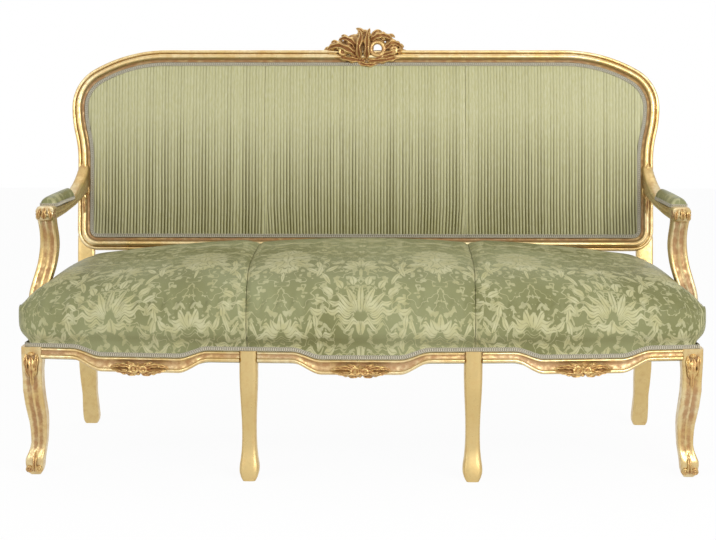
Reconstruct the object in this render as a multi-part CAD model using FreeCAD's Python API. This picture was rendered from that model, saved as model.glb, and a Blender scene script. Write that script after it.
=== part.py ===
import FreeCAD, Part
import math
import os

from FreeCAD import Vector

os.makedirs("parts", exist_ok=True)

# Three-seat show-wood sofa with a bowed front, four cabriole front legs, two splayed rear posts,
# open padded arms, a raked back and a carved crest. Millimetres, +Z up, the front towards -Y.
# Everything is laid out from the corner legs' centre line (y = 0) and moved to the middle of
# its depth when it is written, so the origin is on the floor under the centre of the sofa.

# Seat frame
seat_half_front = 840.0  # centre line to the outer face of a corner leg
side_taper = 38.0  # how much nearer the centre line the outer face of a rear post is
corner_face = -25.0  # front face of the corner legs
front_bow = 63.0  # how far the front bows out at the middle
seat_back_face = 576.0  # rear face of the back seat rail
leg_width = 50.0  # corner leg at the rails
middle_leg_at = 275.0  # centre line to the middle legs
middle_leg_width = 45.0
rail_thick = 32.0
rail_top = 346.0  # top of the seat rails, where the webbing is tacked
show_top = 322.0  # top of the gilded wood beside the legs
show_bottom = 296.0  # underside of the rails beside the legs
sweep_drop = 29.0  # how far the underside sweeps down to the middle of each rail
rebate_drop = 19.0  # how far the top of the gilded wood sweeps down there
sweep_outer = 170.0  # half length of the swept part of a rail
sweep_inner = 95.0  # half length of its low middle
rebate = 8.0  # depth of the recess that takes the edge of the cover
bead_high = 9.0
bead_out = 4.0
knee_proud = 3.0  # how far the legs stand in front of the rails
cartouche_half = 62.0
cartouche_out = 15.0
cartouche_high = 17.0

# Joints between the wooden pieces
tenon_long = 20.0
tenon_thick = 11.0
tenon_high = 30.0
joint_gap = 0.2  # clearance round a tenon

# Cabriole legs
block_bottom = 262.0  # where the square head of a leg ends and its curve begins
ankle_back = 12.0  # how far the ankle is set back from the knee and the foot
# height, share of the ankle's set-back, half thickness
leg_stations = [
    (0.0, 0.0, 17.0),
    (10.0, 0.0, 20.5),
    (28.0, 0.1, 22.5),
    (50.0, 0.45, 20.0),
    (90.0, 1.0, 17.8),
    (132.0, 0.9, 19.8),
    (185.0, 0.3, 22.4),
    (225.0, 0.0, 23.4),
]
leg_corner = 7.0  # the cut corners of a leg

# Rear posts and back frame, which leans back
back_rake = 9.0  # degrees
frame_foot = 495.0  # height of the back frame's lower edge
stile_inset = 2.0  # how far the stiles at the arms, and the posts, lie within the rear of the seat
shoulder_spread = 18.0  # how far the shoulders spread beyond the stiles
frame_high = 559.0  # along the rake
shoulder_at = 399.0  # height of the shoulder joints, along the rake
waist_at = 249.0  # where the stiles start to spread to the shoulders
frame_wide = 50.0  # moulding and tacking ledge together
mould_wide = 34.0
frame_thick = 38.0
ledge_thick = 24.0
foot_round = 56.0  # lower corner of the back frame
crown_turn = 30.0  # degrees turned by the flatter arc of a top corner
crown_wide = 265.0  # width of a top corner
post_wide = 46.0
post_thick = 27.0
rear_foot_back = 66.0  # how far the rear foot stands behind the post
# height, share of the foot's set-back, half width, half depth
rear_leg_stations = [
    (0.0, 1.0, 19.0, 21.0),
    (20.0, 0.97, 21.5, 22.5),
    (90.0, 0.6, 18.0, 20.0),
    (165.0, 0.26, 21.0, 19.5),
]
seat_rail_deep = 56.0  # back seat rail, from its top down
muntin_wide = 40.0
muntin_thick = 18.0
stretcher_wide = 30.0
stretcher_deep = 24.0
block_leg = 52.0  # legs of the triangular corner blocks
block_high = 34.0

# Arms
knuckle_inset = 4.0  # outer face of the knuckle, within the seat's corners
arm_rear_inset = 1.0  # and of the arm's rear end, within the stiles
knuckle_wide = 50.0
arm_wide = 32.0  # at the stile
arm_top = 657.0  # top of the knuckle
arm_drop = 5.0  # how far the pad's seat lies under the knuckle
arm_deep = 40.0  # height of the knuckle
knuckle_front = 150.0
support_inset = 10.0  # outer face of the arm support at its waist, within the seat's corners
support_wide = 43.0
support_spread = 22.0  # how far its foot spreads beyond its waist
support_foot = (116.0, 60.0)  # where the arm support stands on the side rail, and its length there
support_neck = (158.0, 46.0)  # the same at the arm
support_waist = (178.0, 40.0)
arm_seat_low = 631.0  # the arm's foot on the stile
arm_seat_high = 745.0
arm_tail_thick = 13.0

# Upholstery
seat_bulge = 28.0  # how far the seat swells in front of the rails
side_bulge = 18.0  # and beyond them at the sides
seat_roll_wide = 96.0  # the front edge's turn into the top
seat_roll_high = 112.0
side_roll_wide = 92.0
side_roll_high = 104.0
dome_fall = 62.0  # how far the crowned top falls at the sides
channel_deep = 3.0  # how far the seams are sunk
seat_bulge_at = 388.0
seat_crown = 547.0
seat_crown_at = 372.0  # how far back the crown lies
seam_at = 278.0  # the seams between the three panels
cover_thick = 2.0
cloth_gap = 0.3
seam_gap = 0.6
gimp_wide = 13.0
gimp_thick = 2.5
back_crown = 34.0  # how far the back swells in front of its tacking ledge
strap_wide = 50.0
strap_thick = 1.5
hessian_thick = 1.0
arm_pad_front = 205.0
arm_pad_clear = 124.0  # from the pad's rear end to the rear face of the seat's back rail
arm_pad_rear = seat_back_face - arm_pad_clear
arm_pad_high = 24.0
arm_pad_inset = 5.0  # clear wood at each side for the cover and the gimp
arm_gimp_high = 9.0
outside_inset = 12.0  # edge of the cloth on the rear of the back

# Crest
crest_half = 122.0
crest_high = 69.0  # above the top rail
crest_drop = 33.0  # down the face of the top rail
crest_proud = 9.0
crest_back = 12.0  # clear of the top rail's rear face
crest_hole = 11.0
crest_lobes = 9

rake = math.radians(back_rake)
seat_half_rear = seat_half_front - side_taper
frame_half = seat_half_rear - stile_inset
frame_shoulder_half = frame_half + shoulder_spread
arm_half_front = seat_half_front - knuckle_inset
arm_half_rear = frame_half - arm_rear_inset
support_half = seat_half_front - support_inset
bow_radius = (seat_half_front**2 + front_bow**2) / (2 * front_bow)
bow_centre = corner_face - front_bow + bow_radius
rail_section_at = (seat_half_front - leg_width + middle_leg_at + middle_leg_width / 2) / 2
frame_back_y = seat_back_face + (frame_foot - rail_top) * math.tan(rake)  # rear face at frame_foot
front_most = corner_face - front_bow - seat_bulge - cover_thick - cloth_gap
outside_thick = cover_thick + 2 * cloth_gap + gimp_thick
rear_most = frame_back_y + (frame_high - outside_inset) * math.sin(rake) + outside_thick * math.cos(rake)
depth_middle = (front_most + rear_most) / 2


def bow_y(x, out=0.0):
    """The bowed front at x, moved forward by out."""
    return bow_centre - math.sqrt((bow_radius + out) ** 2 - x * x)


def box(x0, x1, y0, y1, z0, z1):
    return Part.makeBox(x1 - x0, y1 - y0, z1 - z0, Vector(x0, y0, z0))


def flat(x, y):
    return Vector(x, y, 0)


def front_view(x, z):
    return Vector(x, 0, z)


def side_view(y, z):
    return Vector(0, y, z)


class Outline:
    """A closed chain of lines and arcs, drawn in the plane that place gives."""

    def __init__(self, place, start):
        self.place, self.first, self.now, self.edges = place, start, start, []

    def line(self, *points):
        for point in points:
            self.edges.append(Part.LineSegment(self.place(*self.now), self.place(*point)).toShape())
            self.now = point
        return self

    def arc(self, through, end):
        ends = [self.place(*p) for p in (self.now, through, end)]
        self.edges.append(Part.Arc(*ends).toShape())
        self.now = end
        return self

    def ogee(self, end, upright=False):
        """Two equal arcs that leave and arrive along the first axis, or the second if upright."""
        swap = (lambda p: (p[1], p[0])) if upright else (lambda p: p)
        (a0, b0), (a1, b1) = swap(self.now), swap(end)
        run, rise = (a1 - a0) / 2, (b1 - b0) / 2
        if abs(rise) < 1e-6:
            return self.line(end)
        half_turn = math.atan2(abs(rise), abs(run))
        radius = (run * run + rise * rise) / (2 * abs(rise))
        da = math.copysign(radius * math.sin(half_turn), run)
        db = math.copysign(radius * (1 - math.cos(half_turn)), rise)
        self.arc(swap((a0 + da, b0 + db)), swap((a0 + run, b0 + rise)))
        self.arc(swap((a1 - da, b1 - db)), end)
        return self

    def wire(self):
        if (self.place(*self.now) - self.place(*self.first)).Length > 1e-6:
            self.line(self.first)
        return Part.Wire(self.edges)

    def prism(self, along):
        return Part.Face(self.wire()).extrude(along)


def skinned(rings):
    """A solid with flat sides through rings of points that all have as many corners."""
    faces = []
    for low, high in zip(rings, rings[1:]):
        for n in range(len(low)):
            m = (n + 1) % len(low)
            faces.append([low[n], low[m], high[m], high[n]])
    faces = [Part.Face(Part.makePolygon([*corners, corners[0]])) for corners in [rings[0], *faces, rings[-1]]]
    shell = Part.Shell(faces)
    shell.sewShape()
    return Part.Solid(shell)


def mirrored(shape):
    return shape.mirror(Vector(0, 0, 0), Vector(1, 0, 0))


def write(name, *solids):
    shape = solids[0].copy() if len(solids) == 1 else Part.makeCompound([s.copy() for s in solids])
    shape.translate(Vector(0, -depth_middle, 0))
    shape.exportStep(f"parts/{name}.step")


def write_pair(name, shape):
    write(f"{name}_right", shape)
    write(f"{name}_left", mirrored(shape))


# Front rails: a swept elevation cut from a bowed board

beyond = seat_half_front + 60.0  # clear of the sofa's ends


def sweep_line(outline, end_level, drop, way):
    """The sweeping line of the three front rails, drawn across the whole front to the right (1) or left (-1)."""
    for middle in (-rail_section_at * way, 0.0, rail_section_at * way):
        outline.line((middle - sweep_outer * way, end_level))
        outline.ogee((middle - sweep_inner * way, end_level - drop))
        outline.line((middle + sweep_inner * way, end_level - drop))
        outline.ogee((middle + sweep_outer * way, end_level))
    outline.line((way * beyond, end_level))


def elevation(low, low_drop, high, high_drop):
    """The band between two sweeping lines, as a prism that runs back from the front."""
    outline = Outline(front_view, (-beyond, low))
    sweep_line(outline, low, low_drop, 1)
    outline.line((beyond, high))
    sweep_line(outline, high, high_drop, -1)
    prism = outline.prism(Vector(0, side_rail_front - corner_face + front_bow + 60, 0))
    prism.translate(Vector(0, corner_face - front_bow - 60, 0))
    return prism


def bowed_board(x0, x1, out, back):
    """A board between x0 and x1 from out in front of the bow to back behind it."""
    mid = (x0 + x1) / 2
    outline = Outline(flat, (x0, bow_y(x0, out))).arc((mid, bow_y(mid, out)), (x1, bow_y(x1, out)))
    outline.line((x1, bow_y(x1, -back))).arc((mid, bow_y(mid, -back)), (x0, bow_y(x0, -back)))
    return outline.prism(Vector(0, 0, rail_top + 10))


def taper(outline_points, shrink, start, reach):
    """A boss that stands out of the front: an outline round its middle, and the same one smaller, reach in front."""
    middle_x = sum(x for x, z in outline_points) / len(outline_points)
    middle_z = sum(z for x, z in outline_points) / len(outline_points)
    rings = []
    for share, y in ((1.0, start), (shrink, start - reach)):
        rings.append([
            Vector(middle_x + (x - middle_x) * share, y, middle_z + (z - middle_z) * share)
            for x, z in outline_points
        ])
    return skinned(rings)


def cartouche(middle):
    """The carved boss at the middle of a front rail: a flower between two leaves."""
    level = (show_bottom - sweep_drop + show_top - rebate_drop) / 2
    buried = 6.0
    start = bow_y(middle) + buried
    flower, leaf, tip = cartouche_high, cartouche_high * 0.7, cartouche_half
    heart = [
        (
            middle + flower * math.cos(n * math.pi / 4 + math.pi / 8),
            level + flower * math.sin(n * math.pi / 4 + math.pi / 8)
        )
        for n in range(8)
    ]
    bosses = [taper(heart, 0.6, start, cartouche_out + buried)]
    for way in (-1, 1):
        points = [
            (0.2, leaf), (0.62, leaf), (1.0, leaf * 0.35), (1.0, -leaf * 0.35), (0.62, -leaf), (0.2, -leaf)
        ]
        wing = [(middle + way * tip * x, level + z) for x, z in points]
        bosses.append(taper(wing, 0.72, start, cartouche_out * 0.7 + buried))
    return bosses


def front_rail(x0, x1):
    middle = (x0 + x1) / 2
    show = elevation(show_bottom, sweep_drop, show_top, rebate_drop)
    rail = show.common(bowed_board(x0, x1, 0, rail_thick))
    upper = elevation(show_top, rebate_drop, rail_top, 0).common(bowed_board(x0, x1, -rebate, rail_thick))
    bead = elevation(show_bottom, sweep_drop, show_bottom + bead_high, sweep_drop)
    bead = bead.common(bowed_board(x0, x1, bead_out, rebate))
    return rail.fuse([upper, bead, *cartouche(middle), *rail_tenons(x0, x1)]).removeSplitter()


def rail_tenon(x, way, room=0.0):
    """A tenon of a front rail that points along way, or its mortise if room is given."""
    y = bow_y(x, -rail_thick / 2)
    ends = sorted([x - way * 2, x + way * (tenon_long + room)])
    low = rail_top - 8 - tenon_high
    return box(
        ends[0], ends[1], y - tenon_thick / 2 - room, y + tenon_thick / 2 + room, low - room, low + tenon_high + room
    )


def rail_tenons(x0, x1):
    return [rail_tenon(x0, -1), rail_tenon(x1, 1)]


# Legs

def section(x, y, z, half_x, half_y, cut):
    """A rectangle with its four corners cut."""
    points = [
        (x - half_x + cut, y - half_y), (x + half_x - cut, y - half_y), (x + half_x, y - half_y + cut),
        (x + half_x, y + half_y - cut), (x + half_x - cut, y + half_y), (x - half_x + cut, y + half_y),
        (x - half_x, y + half_y - cut), (x - half_x, y - half_y + cut),
    ]
    return [Vector(a, b, z) for a, b in points]


def bowed_head(x0, x1, back_y, out, z0, z1):
    """The square head of a leg, its front cut to the bow."""
    outline = Outline(flat, (x0, bow_y(x0, out))).line((x1, bow_y(x1, out)), (x1, back_y), (x0, back_y))
    head = outline.prism(Vector(0, 0, z1 - z0))
    head.translate(Vector(0, 0, z0))
    return head


def cabriole_leg(x0, x1, back_y, sideways):
    """A front leg under the head that spans x0 to x1. sideways is how much of the curve goes out to the side."""
    x, front = (x0 + x1) / 2, bow_y((x0 + x1) / 2, knee_proud)
    y, wide = (front + back_y) / 2, (x1 - x0) / 2
    sections = []
    for height, share, half in leg_stations:
        back = share * ankle_back
        thin = half * min(1.0, wide / (leg_width / 2))
        sections.append(section(x - sideways * back, y + back, height, thin, half, leg_corner))
    sections.append(section(x, y, block_bottom, wide, (back_y - front) / 2, leg_corner / 2))
    curve = skinned(sections)
    head = bowed_head(x0, x1, back_y, knee_proud, block_bottom, show_top)
    upper_x1 = x1 - rebate * (1 if sideways else 0)
    upper = bowed_head(x0, upper_x1, back_y, -rebate, show_top, rail_top)
    return curve.fuse([head, upper])


def corner_leg():
    x1 = seat_half_front + knee_proud
    x0 = seat_half_front - leg_width
    back_y = corner_face + leg_width
    leg = cabriole_leg(x0, x1, back_y, 1.0)
    leg = leg.cut(side_board(corner_face - 40, back_y + 40, 40, rebate, show_top, rail_top + 1))
    mortises = [rail_tenon(x0, 1, joint_gap), side_tenon(back_y, joint_gap)]
    return leg.cut(mortises).removeSplitter()


def middle_leg():
    half = middle_leg_width / 2
    x0, x1 = middle_leg_at - half, middle_leg_at + half
    back_y = bow_y(middle_leg_at) + leg_width
    leg = cabriole_leg(x0, x1, back_y, 0.0)
    mortises = [
        rail_tenon(x0, 1, joint_gap), rail_tenon(x1, -1, joint_gap), stretcher_tenon(back_y, joint_gap)
    ]
    return leg.cut(mortises).removeSplitter()


# Side rails, along the slanting side of the seat

side_slant = math.atan2(seat_half_front - seat_half_rear, seat_back_face - corner_face)


def side_x(y, out=0.0):
    """The side of the seat at y, moved outwards by out."""
    return seat_half_front - (y - corner_face) * math.tan(side_slant) + out / math.cos(side_slant)


def side_board(y0, y1, out, back, z0, z1):
    outline = Outline(flat, (side_x(y0, out), y0)).line(
        (side_x(y1, out), y1), (side_x(y1, -back), y1), (side_x(y0, -back), y0)
    )
    board = outline.prism(Vector(0, 0, z1 - z0))
    board.translate(Vector(0, 0, z0))
    return board


def side_tenon(y, room=0.0, way=-1):
    """A tenon of a side rail at y, or its mortise if room is given."""
    x = side_x(y, -rail_thick / 2)
    ends = sorted([y - way * 2, y + way * (tenon_long + room)])
    high = rail_top - 8 - tenon_high * 0.5
    low = high - tenon_high * 0.8
    return box(
        x - tenon_thick / 2 - room, x + tenon_thick / 2 + room, ends[0], ends[1], low - room, high + room
    )


side_rail_front = corner_face + leg_width
side_rail_rear = seat_back_face - post_thick / math.cos(rake)


def side_elevation(low, high, drop_low, drop_high):
    """The side rail's swept band, as a prism that runs across the sofa."""
    mid = (side_rail_front + side_rail_rear) / 2
    outline = Outline(side_view, (side_rail_front - 5, low))
    outline.line((mid - sweep_outer, low)).ogee((mid - sweep_inner, low - drop_low))
    outline.line((mid + sweep_inner, low - drop_low)).ogee((mid + sweep_outer, low))
    outline.line((side_rail_rear + 5, low), (side_rail_rear + 5, high))
    if drop_high:
        outline.line((mid + sweep_outer, high)).ogee((mid + sweep_inner, high - drop_high))
        outline.line((mid - sweep_inner, high - drop_high)).ogee((mid - sweep_outer, high))
    outline.line((side_rail_front - 5, high))
    return outline.prism(Vector(beyond, 0, 0))


def side_rail():
    y0, y1 = side_rail_front, side_rail_rear
    drop, top_drop = sweep_drop / 2, rebate_drop / 2
    tall = rail_top + 10
    rail = side_elevation(show_bottom, show_top, drop, top_drop).common(
        side_board(y0, y1, 0, rail_thick, 0, tall)
    )
    upper = side_elevation(show_top, rail_top, top_drop, 0).common(
        side_board(y0, y1, -rebate, rail_thick, 0, tall)
    )
    bead = side_elevation(show_bottom, show_bottom + bead_high, drop, drop).common(
        side_board(y0, y1, bead_out, rebate, 0, tall)
    )
    rail = rail.fuse([upper, bead, side_tenon(y0), side_tenon(y1, way=1)])
    return rail.cut(support_tenon(joint_gap)).removeSplitter()


# Back frame, drawn flat and then leaned back. a runs in from the outer edge, w up from the rear face.

def lean(shape):
    """Moves a shape drawn with x across, y up the rake and z towards the sitter into its place."""
    moved = shape.copy()
    moved.rotate(Vector(0, 0, 0), Vector(1, 0, 0), 90 - back_rake)
    moved.translate(Vector(0, frame_back_y, frame_foot))
    return moved


def frame_profile(at, inward):
    """The section of the moulded frame at the point at of its outer edge, with inward pointing in."""
    def place(a, w):
        return Vector(at[0] + inward[0] * a, at[1] + inward[1] * a, w)

    high, edge = frame_thick, mould_wide
    outline = Outline(place, (0, 0)).line(
        (0, high - 10), (5, high - 4), (13, high - 10), (18, high), (25, high - 4)
    )
    outline.line((edge, ledge_thick), (frame_wide, ledge_thick), (frame_wide, 0))
    return Part.Face(outline.wire())


def straight_run(start, end, inward):
    return frame_profile(start, inward).extrude(Vector(end[0] - start[0], end[1] - start[1], 0))


def turned_run(start, inward, centre, degrees):
    return frame_profile(start, inward).revolve(Vector(centre[0], centre[1], 0), Vector(0, 0, 1), degrees)


def crown_arcs():
    """The radii of a top corner's two arcs, flatter first, which turn from level to upright."""
    turn = math.radians(crown_turn)
    s, c = math.sin(turn), math.cos(turn)
    wide, high = crown_wide, frame_high - shoulder_at
    # s*R1 + (1-s)*R2 = wide and (1-c)*R1 + c*R2 = high
    whole = s * c - (1 - s) * (1 - c)
    return (wide * c - high * (1 - s)) / whole, (high * s - wide * (1 - c)) / whole


def waist_radius():
    run, rise = (shoulder_at - waist_at) / 2, (frame_shoulder_half - frame_half) / 2
    return (run * run + rise * rise) / (2 * rise), math.degrees(2 * math.atan2(rise, run))


def back_top_rail():
    flatter, tighter = crown_arcs()
    shoulder = (frame_shoulder_half, shoulder_at)
    centre = (frame_shoulder_half - tighter, shoulder_at)
    tight_turn = 90 - crown_turn
    turn = math.radians(tight_turn)
    knee = (centre[0] + tighter * math.cos(turn), centre[1] + tighter * math.sin(turn))
    inward = (-math.cos(turn), -math.sin(turn))
    far = (knee[0] + inward[0] * flatter, knee[1] + inward[1] * flatter)
    corner = [
        turned_run(shoulder, (-1, 0), centre, tight_turn),
        turned_run(knee, inward, far, crown_turn),
    ]
    level = (far[0], far[1] + flatter)
    rail = straight_run(level, (-level[0], level[1]), (0, -1))
    tenon = stile_tenon()
    rail = rail.fuse([*corner, *[mirrored(s) for s in corner], tenon, mirrored(tenon)])
    return lean(rail.cut([muntin_tenon(1, joint_gap), mirrored(muntin_tenon(1, joint_gap))]).removeSplitter())


def stile_tenon(room=0.0):
    x = frame_shoulder_half - frame_wide / 2
    half, deep = tenon_thick / 2 + room, ledge_thick / 2
    return box(
        x - tenon_high / 2 - room, x + tenon_high / 2 + room, shoulder_at - tenon_long - room, shoulder_at + 2,
        deep - half, deep + half
    )


def muntin_tenon(end, room=0.0):
    """A tenon at the top (end 1) or bottom (end -1) of a back muntin."""
    middle = frame_wide if end < 0 else frame_high - frame_wide
    ends = sorted([middle - end * 2, middle + end * (tenon_long + room)])
    half_x, half_z = muntin_wide / 4 + room, muntin_thick / 4 + room
    deep = muntin_thick / 2
    return box(seam_at - half_x, seam_at + half_x, ends[0], ends[1], deep - half_z, deep + half_z)


def back_muntin():
    """The inner upright behind a seam of the back, between the top and bottom rails."""
    body = box(
        seam_at - muntin_wide / 2, seam_at + muntin_wide / 2, frame_wide, frame_high - frame_wide, 0, muntin_thick
    )
    return lean(body.fuse([muntin_tenon(1), muntin_tenon(-1)]).removeSplitter())


def bottom_tenon(room=0.0):
    x = frame_half - foot_round
    half = tenon_thick / 2 + room
    return box(
        x - 2, x + tenon_long + room, frame_wide / 2 - tenon_high / 2 - room, frame_wide / 2 + tenon_high / 2 + room,
        ledge_thick / 2 - half, ledge_thick / 2 + half
    )


def back_bottom_rail():
    end = frame_half - foot_round
    rail = straight_run((-end, 0), (end, 0), (0, 1))
    rail = rail.fuse([bottom_tenon(), mirrored(bottom_tenon())])
    return lean(
        rail.cut([muntin_tenon(-1, joint_gap), mirrored(muntin_tenon(-1, joint_gap))]).removeSplitter()
    )


def stile():
    """The moulded upright of the back frame from the shoulder down and round its foot."""
    radius, degrees = waist_radius()
    mid = ((frame_half + frame_shoulder_half) / 2, (waist_at + shoulder_at) / 2)
    low_centre = (frame_half + radius, waist_at)
    turn = math.radians(degrees)
    inward = (-math.cos(turn), math.sin(turn))
    high_centre = (frame_shoulder_half - radius, shoulder_at)
    foot_centre = (frame_half - foot_round, foot_round)
    runs = [
        turned_run((frame_shoulder_half, shoulder_at), (-1, 0), high_centre, -degrees),
        turned_run(mid, inward, low_centre, degrees),
        straight_run((frame_half, waist_at), (frame_half, foot_round), (-1, 0)),
        turned_run((frame_half, foot_round), (-1, 0), foot_centre, -90),
    ]
    low = (arm_seat_low - frame_foot) / math.cos(rake)
    high = (arm_seat_high - frame_foot) / math.cos(rake)
    arm_seat = box(frame_half - mould_wide, frame_half, low, high, ledge_thick / 2, frame_thick)
    backing = box(frame_half - frame_wide, frame_half - 2, 0, foot_round * 0.8, 0, ledge_thick)
    return lean(runs[0].fuse([*runs[1:], arm_seat, backing]))


def rear_post():
    """One piece from the floor to the shoulder: splayed leg, square head, leaning post and moulded stile."""
    x1 = seat_half_rear - stile_inset
    x0 = x1 - post_wide
    x, half = (x0 + x1) / 2, post_wide / 2
    deep = post_thick / math.cos(rake)
    y = seat_back_face - deep / 2
    sections = []
    for height, share, half_x, half_y in rear_leg_stations:
        sections.append(section(x, y + share * rear_foot_back, height, half_x, half_y, leg_corner))
    sections.append(section(x, y, block_bottom, half, deep / 2, leg_corner / 2))
    leg = skinned(sections)
    head = box(x0, x1, seat_back_face - deep, seat_back_face, block_bottom, rail_top)
    lift = (frame_foot - rail_top) * math.tan(rake)
    lean_outline = Outline(side_view, (seat_back_face - deep, rail_top)).line(
        (seat_back_face, rail_top), (seat_back_face + lift, frame_foot), (
            seat_back_face + lift - deep, frame_foot
        )
    )
    leaning = lean_outline.prism(Vector(x1 - x0, 0, 0))
    leaning.translate(Vector(x0, 0, 0))
    tie = lean(box(x0, x1, -20, foot_round / 2, 0, post_thick))
    post = leg.fuse([head, leaning, tie, stile()])
    cuts = [
        side_tenon(side_rail_rear, joint_gap, 1),
        back_rail_tenon(joint_gap),
        lean(stile_tenon(joint_gap)),
        lean(bottom_tenon(joint_gap)),
        arm_tenon(joint_gap),
    ]
    return post.cut(cuts).removeSplitter()


def back_rail_tenon(room=0.0):
    x = seat_half_rear - stile_inset - post_wide
    y = seat_back_face - post_thick / 2
    low = rail_top - seat_rail_deep / 2 - tenon_high / 2
    half = tenon_thick / 2 + room
    return box(x - 2, x + tenon_long * 0.5 + room, y - half, y + half, low - room, low + tenon_high + room)


def back_seat_rail():
    x = seat_half_rear - stile_inset - post_wide
    rail = box(-x, x, seat_back_face - post_thick, seat_back_face, rail_top - seat_rail_deep, rail_top)
    rail = rail.fuse([back_rail_tenon(), mirrored(back_rail_tenon())])
    cuts = [stretcher_rear_tenon(joint_gap), mirrored(stretcher_rear_tenon(joint_gap))]
    return rail.cut(cuts).removeSplitter()


def stretcher_tenon(y, room=0.0):
    half_x, half_z = stretcher_wide / 4 + room, stretcher_deep / 4 + room
    z = show_top - stretcher_deep / 2
    return box(
        middle_leg_at - half_x, middle_leg_at + half_x, y - tenon_long * 0.5 - room, y + 2, z - half_z, z + half_z
    )


def stretcher_rear_tenon(room=0.0):
    half_x, half_z = stretcher_wide / 4 + room, stretcher_deep / 4 + room
    z = show_top - stretcher_deep / 2
    y = seat_back_face - post_thick
    return box(
        middle_leg_at - half_x, middle_leg_at + half_x, y - 2, y + tenon_long * 0.5 + room, z - half_z, z + half_z
    )


def seat_stretcher():
    """The cross rail under the seat, from a middle leg to the back seat rail."""
    y0 = bow_y(middle_leg_at) + leg_width
    y1 = seat_back_face - post_thick
    half = stretcher_wide / 2
    body = box(middle_leg_at - half, middle_leg_at + half, y0, y1, show_top - stretcher_deep, show_top)
    return body.fuse([stretcher_tenon(y0), stretcher_rear_tenon()]).removeSplitter()


def corner_block(y, way_y):
    """A triangular block glued between the side rail and what stands across its end at y."""
    low = rail_top - 10 - block_high
    start, end = y + way_y * cloth_gap, y + way_y * block_leg
    x0, x1 = side_x(start, -rail_thick) - cloth_gap, side_x(end, -rail_thick) - cloth_gap
    outline = Outline(lambda a, b: Vector(a, b, low), (x0, start)).line((x0 - block_leg, start), (x1, end))
    return outline.prism(Vector(0, 0, block_high))


def corner_blocks():
    front = corner_block(side_rail_front, 1)
    rear = corner_block(seat_back_face - post_thick / math.cos(rake), -1)
    return [front, mirrored(front), rear, mirrored(rear)]


# Arms

def stile_face(z):
    """y of the arm's seat on the stile at height z."""
    return frame_back_y + (z - frame_foot) * math.tan(rake) - frame_thick / math.cos(rake)


def arm_side():
    top, low = arm_top, arm_top - arm_deep
    rear_low, rear_high = stile_face(arm_seat_low), stile_face(arm_seat_high)
    nose = arm_deep / 2
    pad_z = arm_top - arm_drop
    bend = (stile_face(arm_top) - arm_tail_thick * 2.2, arm_top + 16)
    outline = Outline(side_view, (knuckle_front + nose, low)).line((arm_pad_front + 10, low))
    outline.arc(((arm_pad_front + rear_low) / 2, low + 11), (rear_low, arm_seat_low))
    outline.line((rear_high, arm_seat_high), (rear_high - arm_tail_thick, arm_seat_high))
    outline.arc(bend, (arm_pad_rear + 8, pad_z)).line((arm_pad_front - 8, pad_z))
    outline.arc((knuckle_front + nose * 1.7, top - arm_drop * 0.2), (knuckle_front + nose, top))
    outline.arc((knuckle_front, top - nose), (knuckle_front + nose, low))
    return outline.prism(Vector(beyond, 0, 0))


def arm_edge(y, inner=False):
    """x of the arm's outer or inner edge at y: a gentle outward curve from the stile to the knuckle."""
    rear = stile_face(arm_seat_high)
    share = (rear - y) / (rear - knuckle_front)
    curve = 1 - (1 - share) ** 2
    outer = arm_half_rear + (arm_half_front - arm_half_rear) * curve
    wide = arm_wide + (knuckle_wide - arm_wide) * share
    return outer - wide if inner else outer


def arm_plan(z0, z1):
    rear, front = stile_face(arm_seat_high), knuckle_front - 10
    middle = (rear + front) / 2
    outline = Outline(lambda a, b: Vector(a, b, z0), (arm_edge(rear, True), rear))
    outline.arc((arm_edge(middle, True), middle), (arm_edge(front, True), front))
    outline.line((arm_edge(front), front)).arc((arm_edge(middle), middle), (arm_edge(rear), rear))
    return outline.prism(Vector(0, 0, z1 - z0))


def arm_tenon(room=0.0):
    z = (arm_seat_low + arm_top) / 2
    y = stile_face(z)
    x = frame_half - frame_wide / 2
    half = tenon_thick / 2 + room
    return box(x - half, x + half, y - 10, y + tenon_long + room, z - half, z + half)


def support_tenon(room=0.0):
    """The tenon at the foot of the arm support, in the side rail."""
    y = support_foot[0] + support_foot[1] / 2
    x = side_x(y, -rail_thick / 2 - 2)
    half = tenon_thick / 2 + room
    return box(x - half, x + half, y - 12 - room, y + 12 + room, rail_top - tenon_long - room, rail_top + 4)


def support_top_tenon(room=0.0):
    x = arm_edge(knuckle_front + 30) - knuckle_wide / 2
    y = knuckle_front + 32
    low = arm_top - arm_deep
    half = tenon_thick / 2 + room
    return box(x - half, x + half, y - half, y + half, low - 4, low + tenon_long + room)


def arm():
    body = arm_side().common(arm_plan(0, arm_seat_high + 10))
    body = body.cut(support_top_tenon(joint_gap))
    return body.fuse(arm_tenon()).removeSplitter()


def support_side(grow=0.0):
    """The arm support's side view: it sweeps back from its foot to its waist and forward to the arm."""
    top, low = arm_top - arm_deep, show_top
    waist_z = low + (top - low) * 0.62
    foot, foot_end = support_foot[0] - grow, sum(support_foot) + grow
    neck, neck_end = support_neck[0] - grow, sum(support_neck) + grow
    waist, waist_end = support_waist[0] - grow, sum(support_waist) + grow
    outline = Outline(side_view, (foot, low)).arc(
        (foot + (waist - foot) * 0.84, low + (waist_z - low) * 0.5), (waist, waist_z)
    )
    outline.arc((waist - (waist - neck) * 0.3, waist_z + (top - waist_z) * 0.55), (neck, top))
    outline.line((neck_end, top))
    outline.arc(
        (waist_end - (waist_end - neck_end) * 0.3, waist_z + (top - waist_z) * 0.55), (waist_end, waist_z)
    )
    outline.arc((foot_end + (waist_end - foot_end) * 0.84, low + (waist_z - low) * 0.5), (foot_end, low))
    return outline.prism(Vector(beyond, 0, 0))


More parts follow.
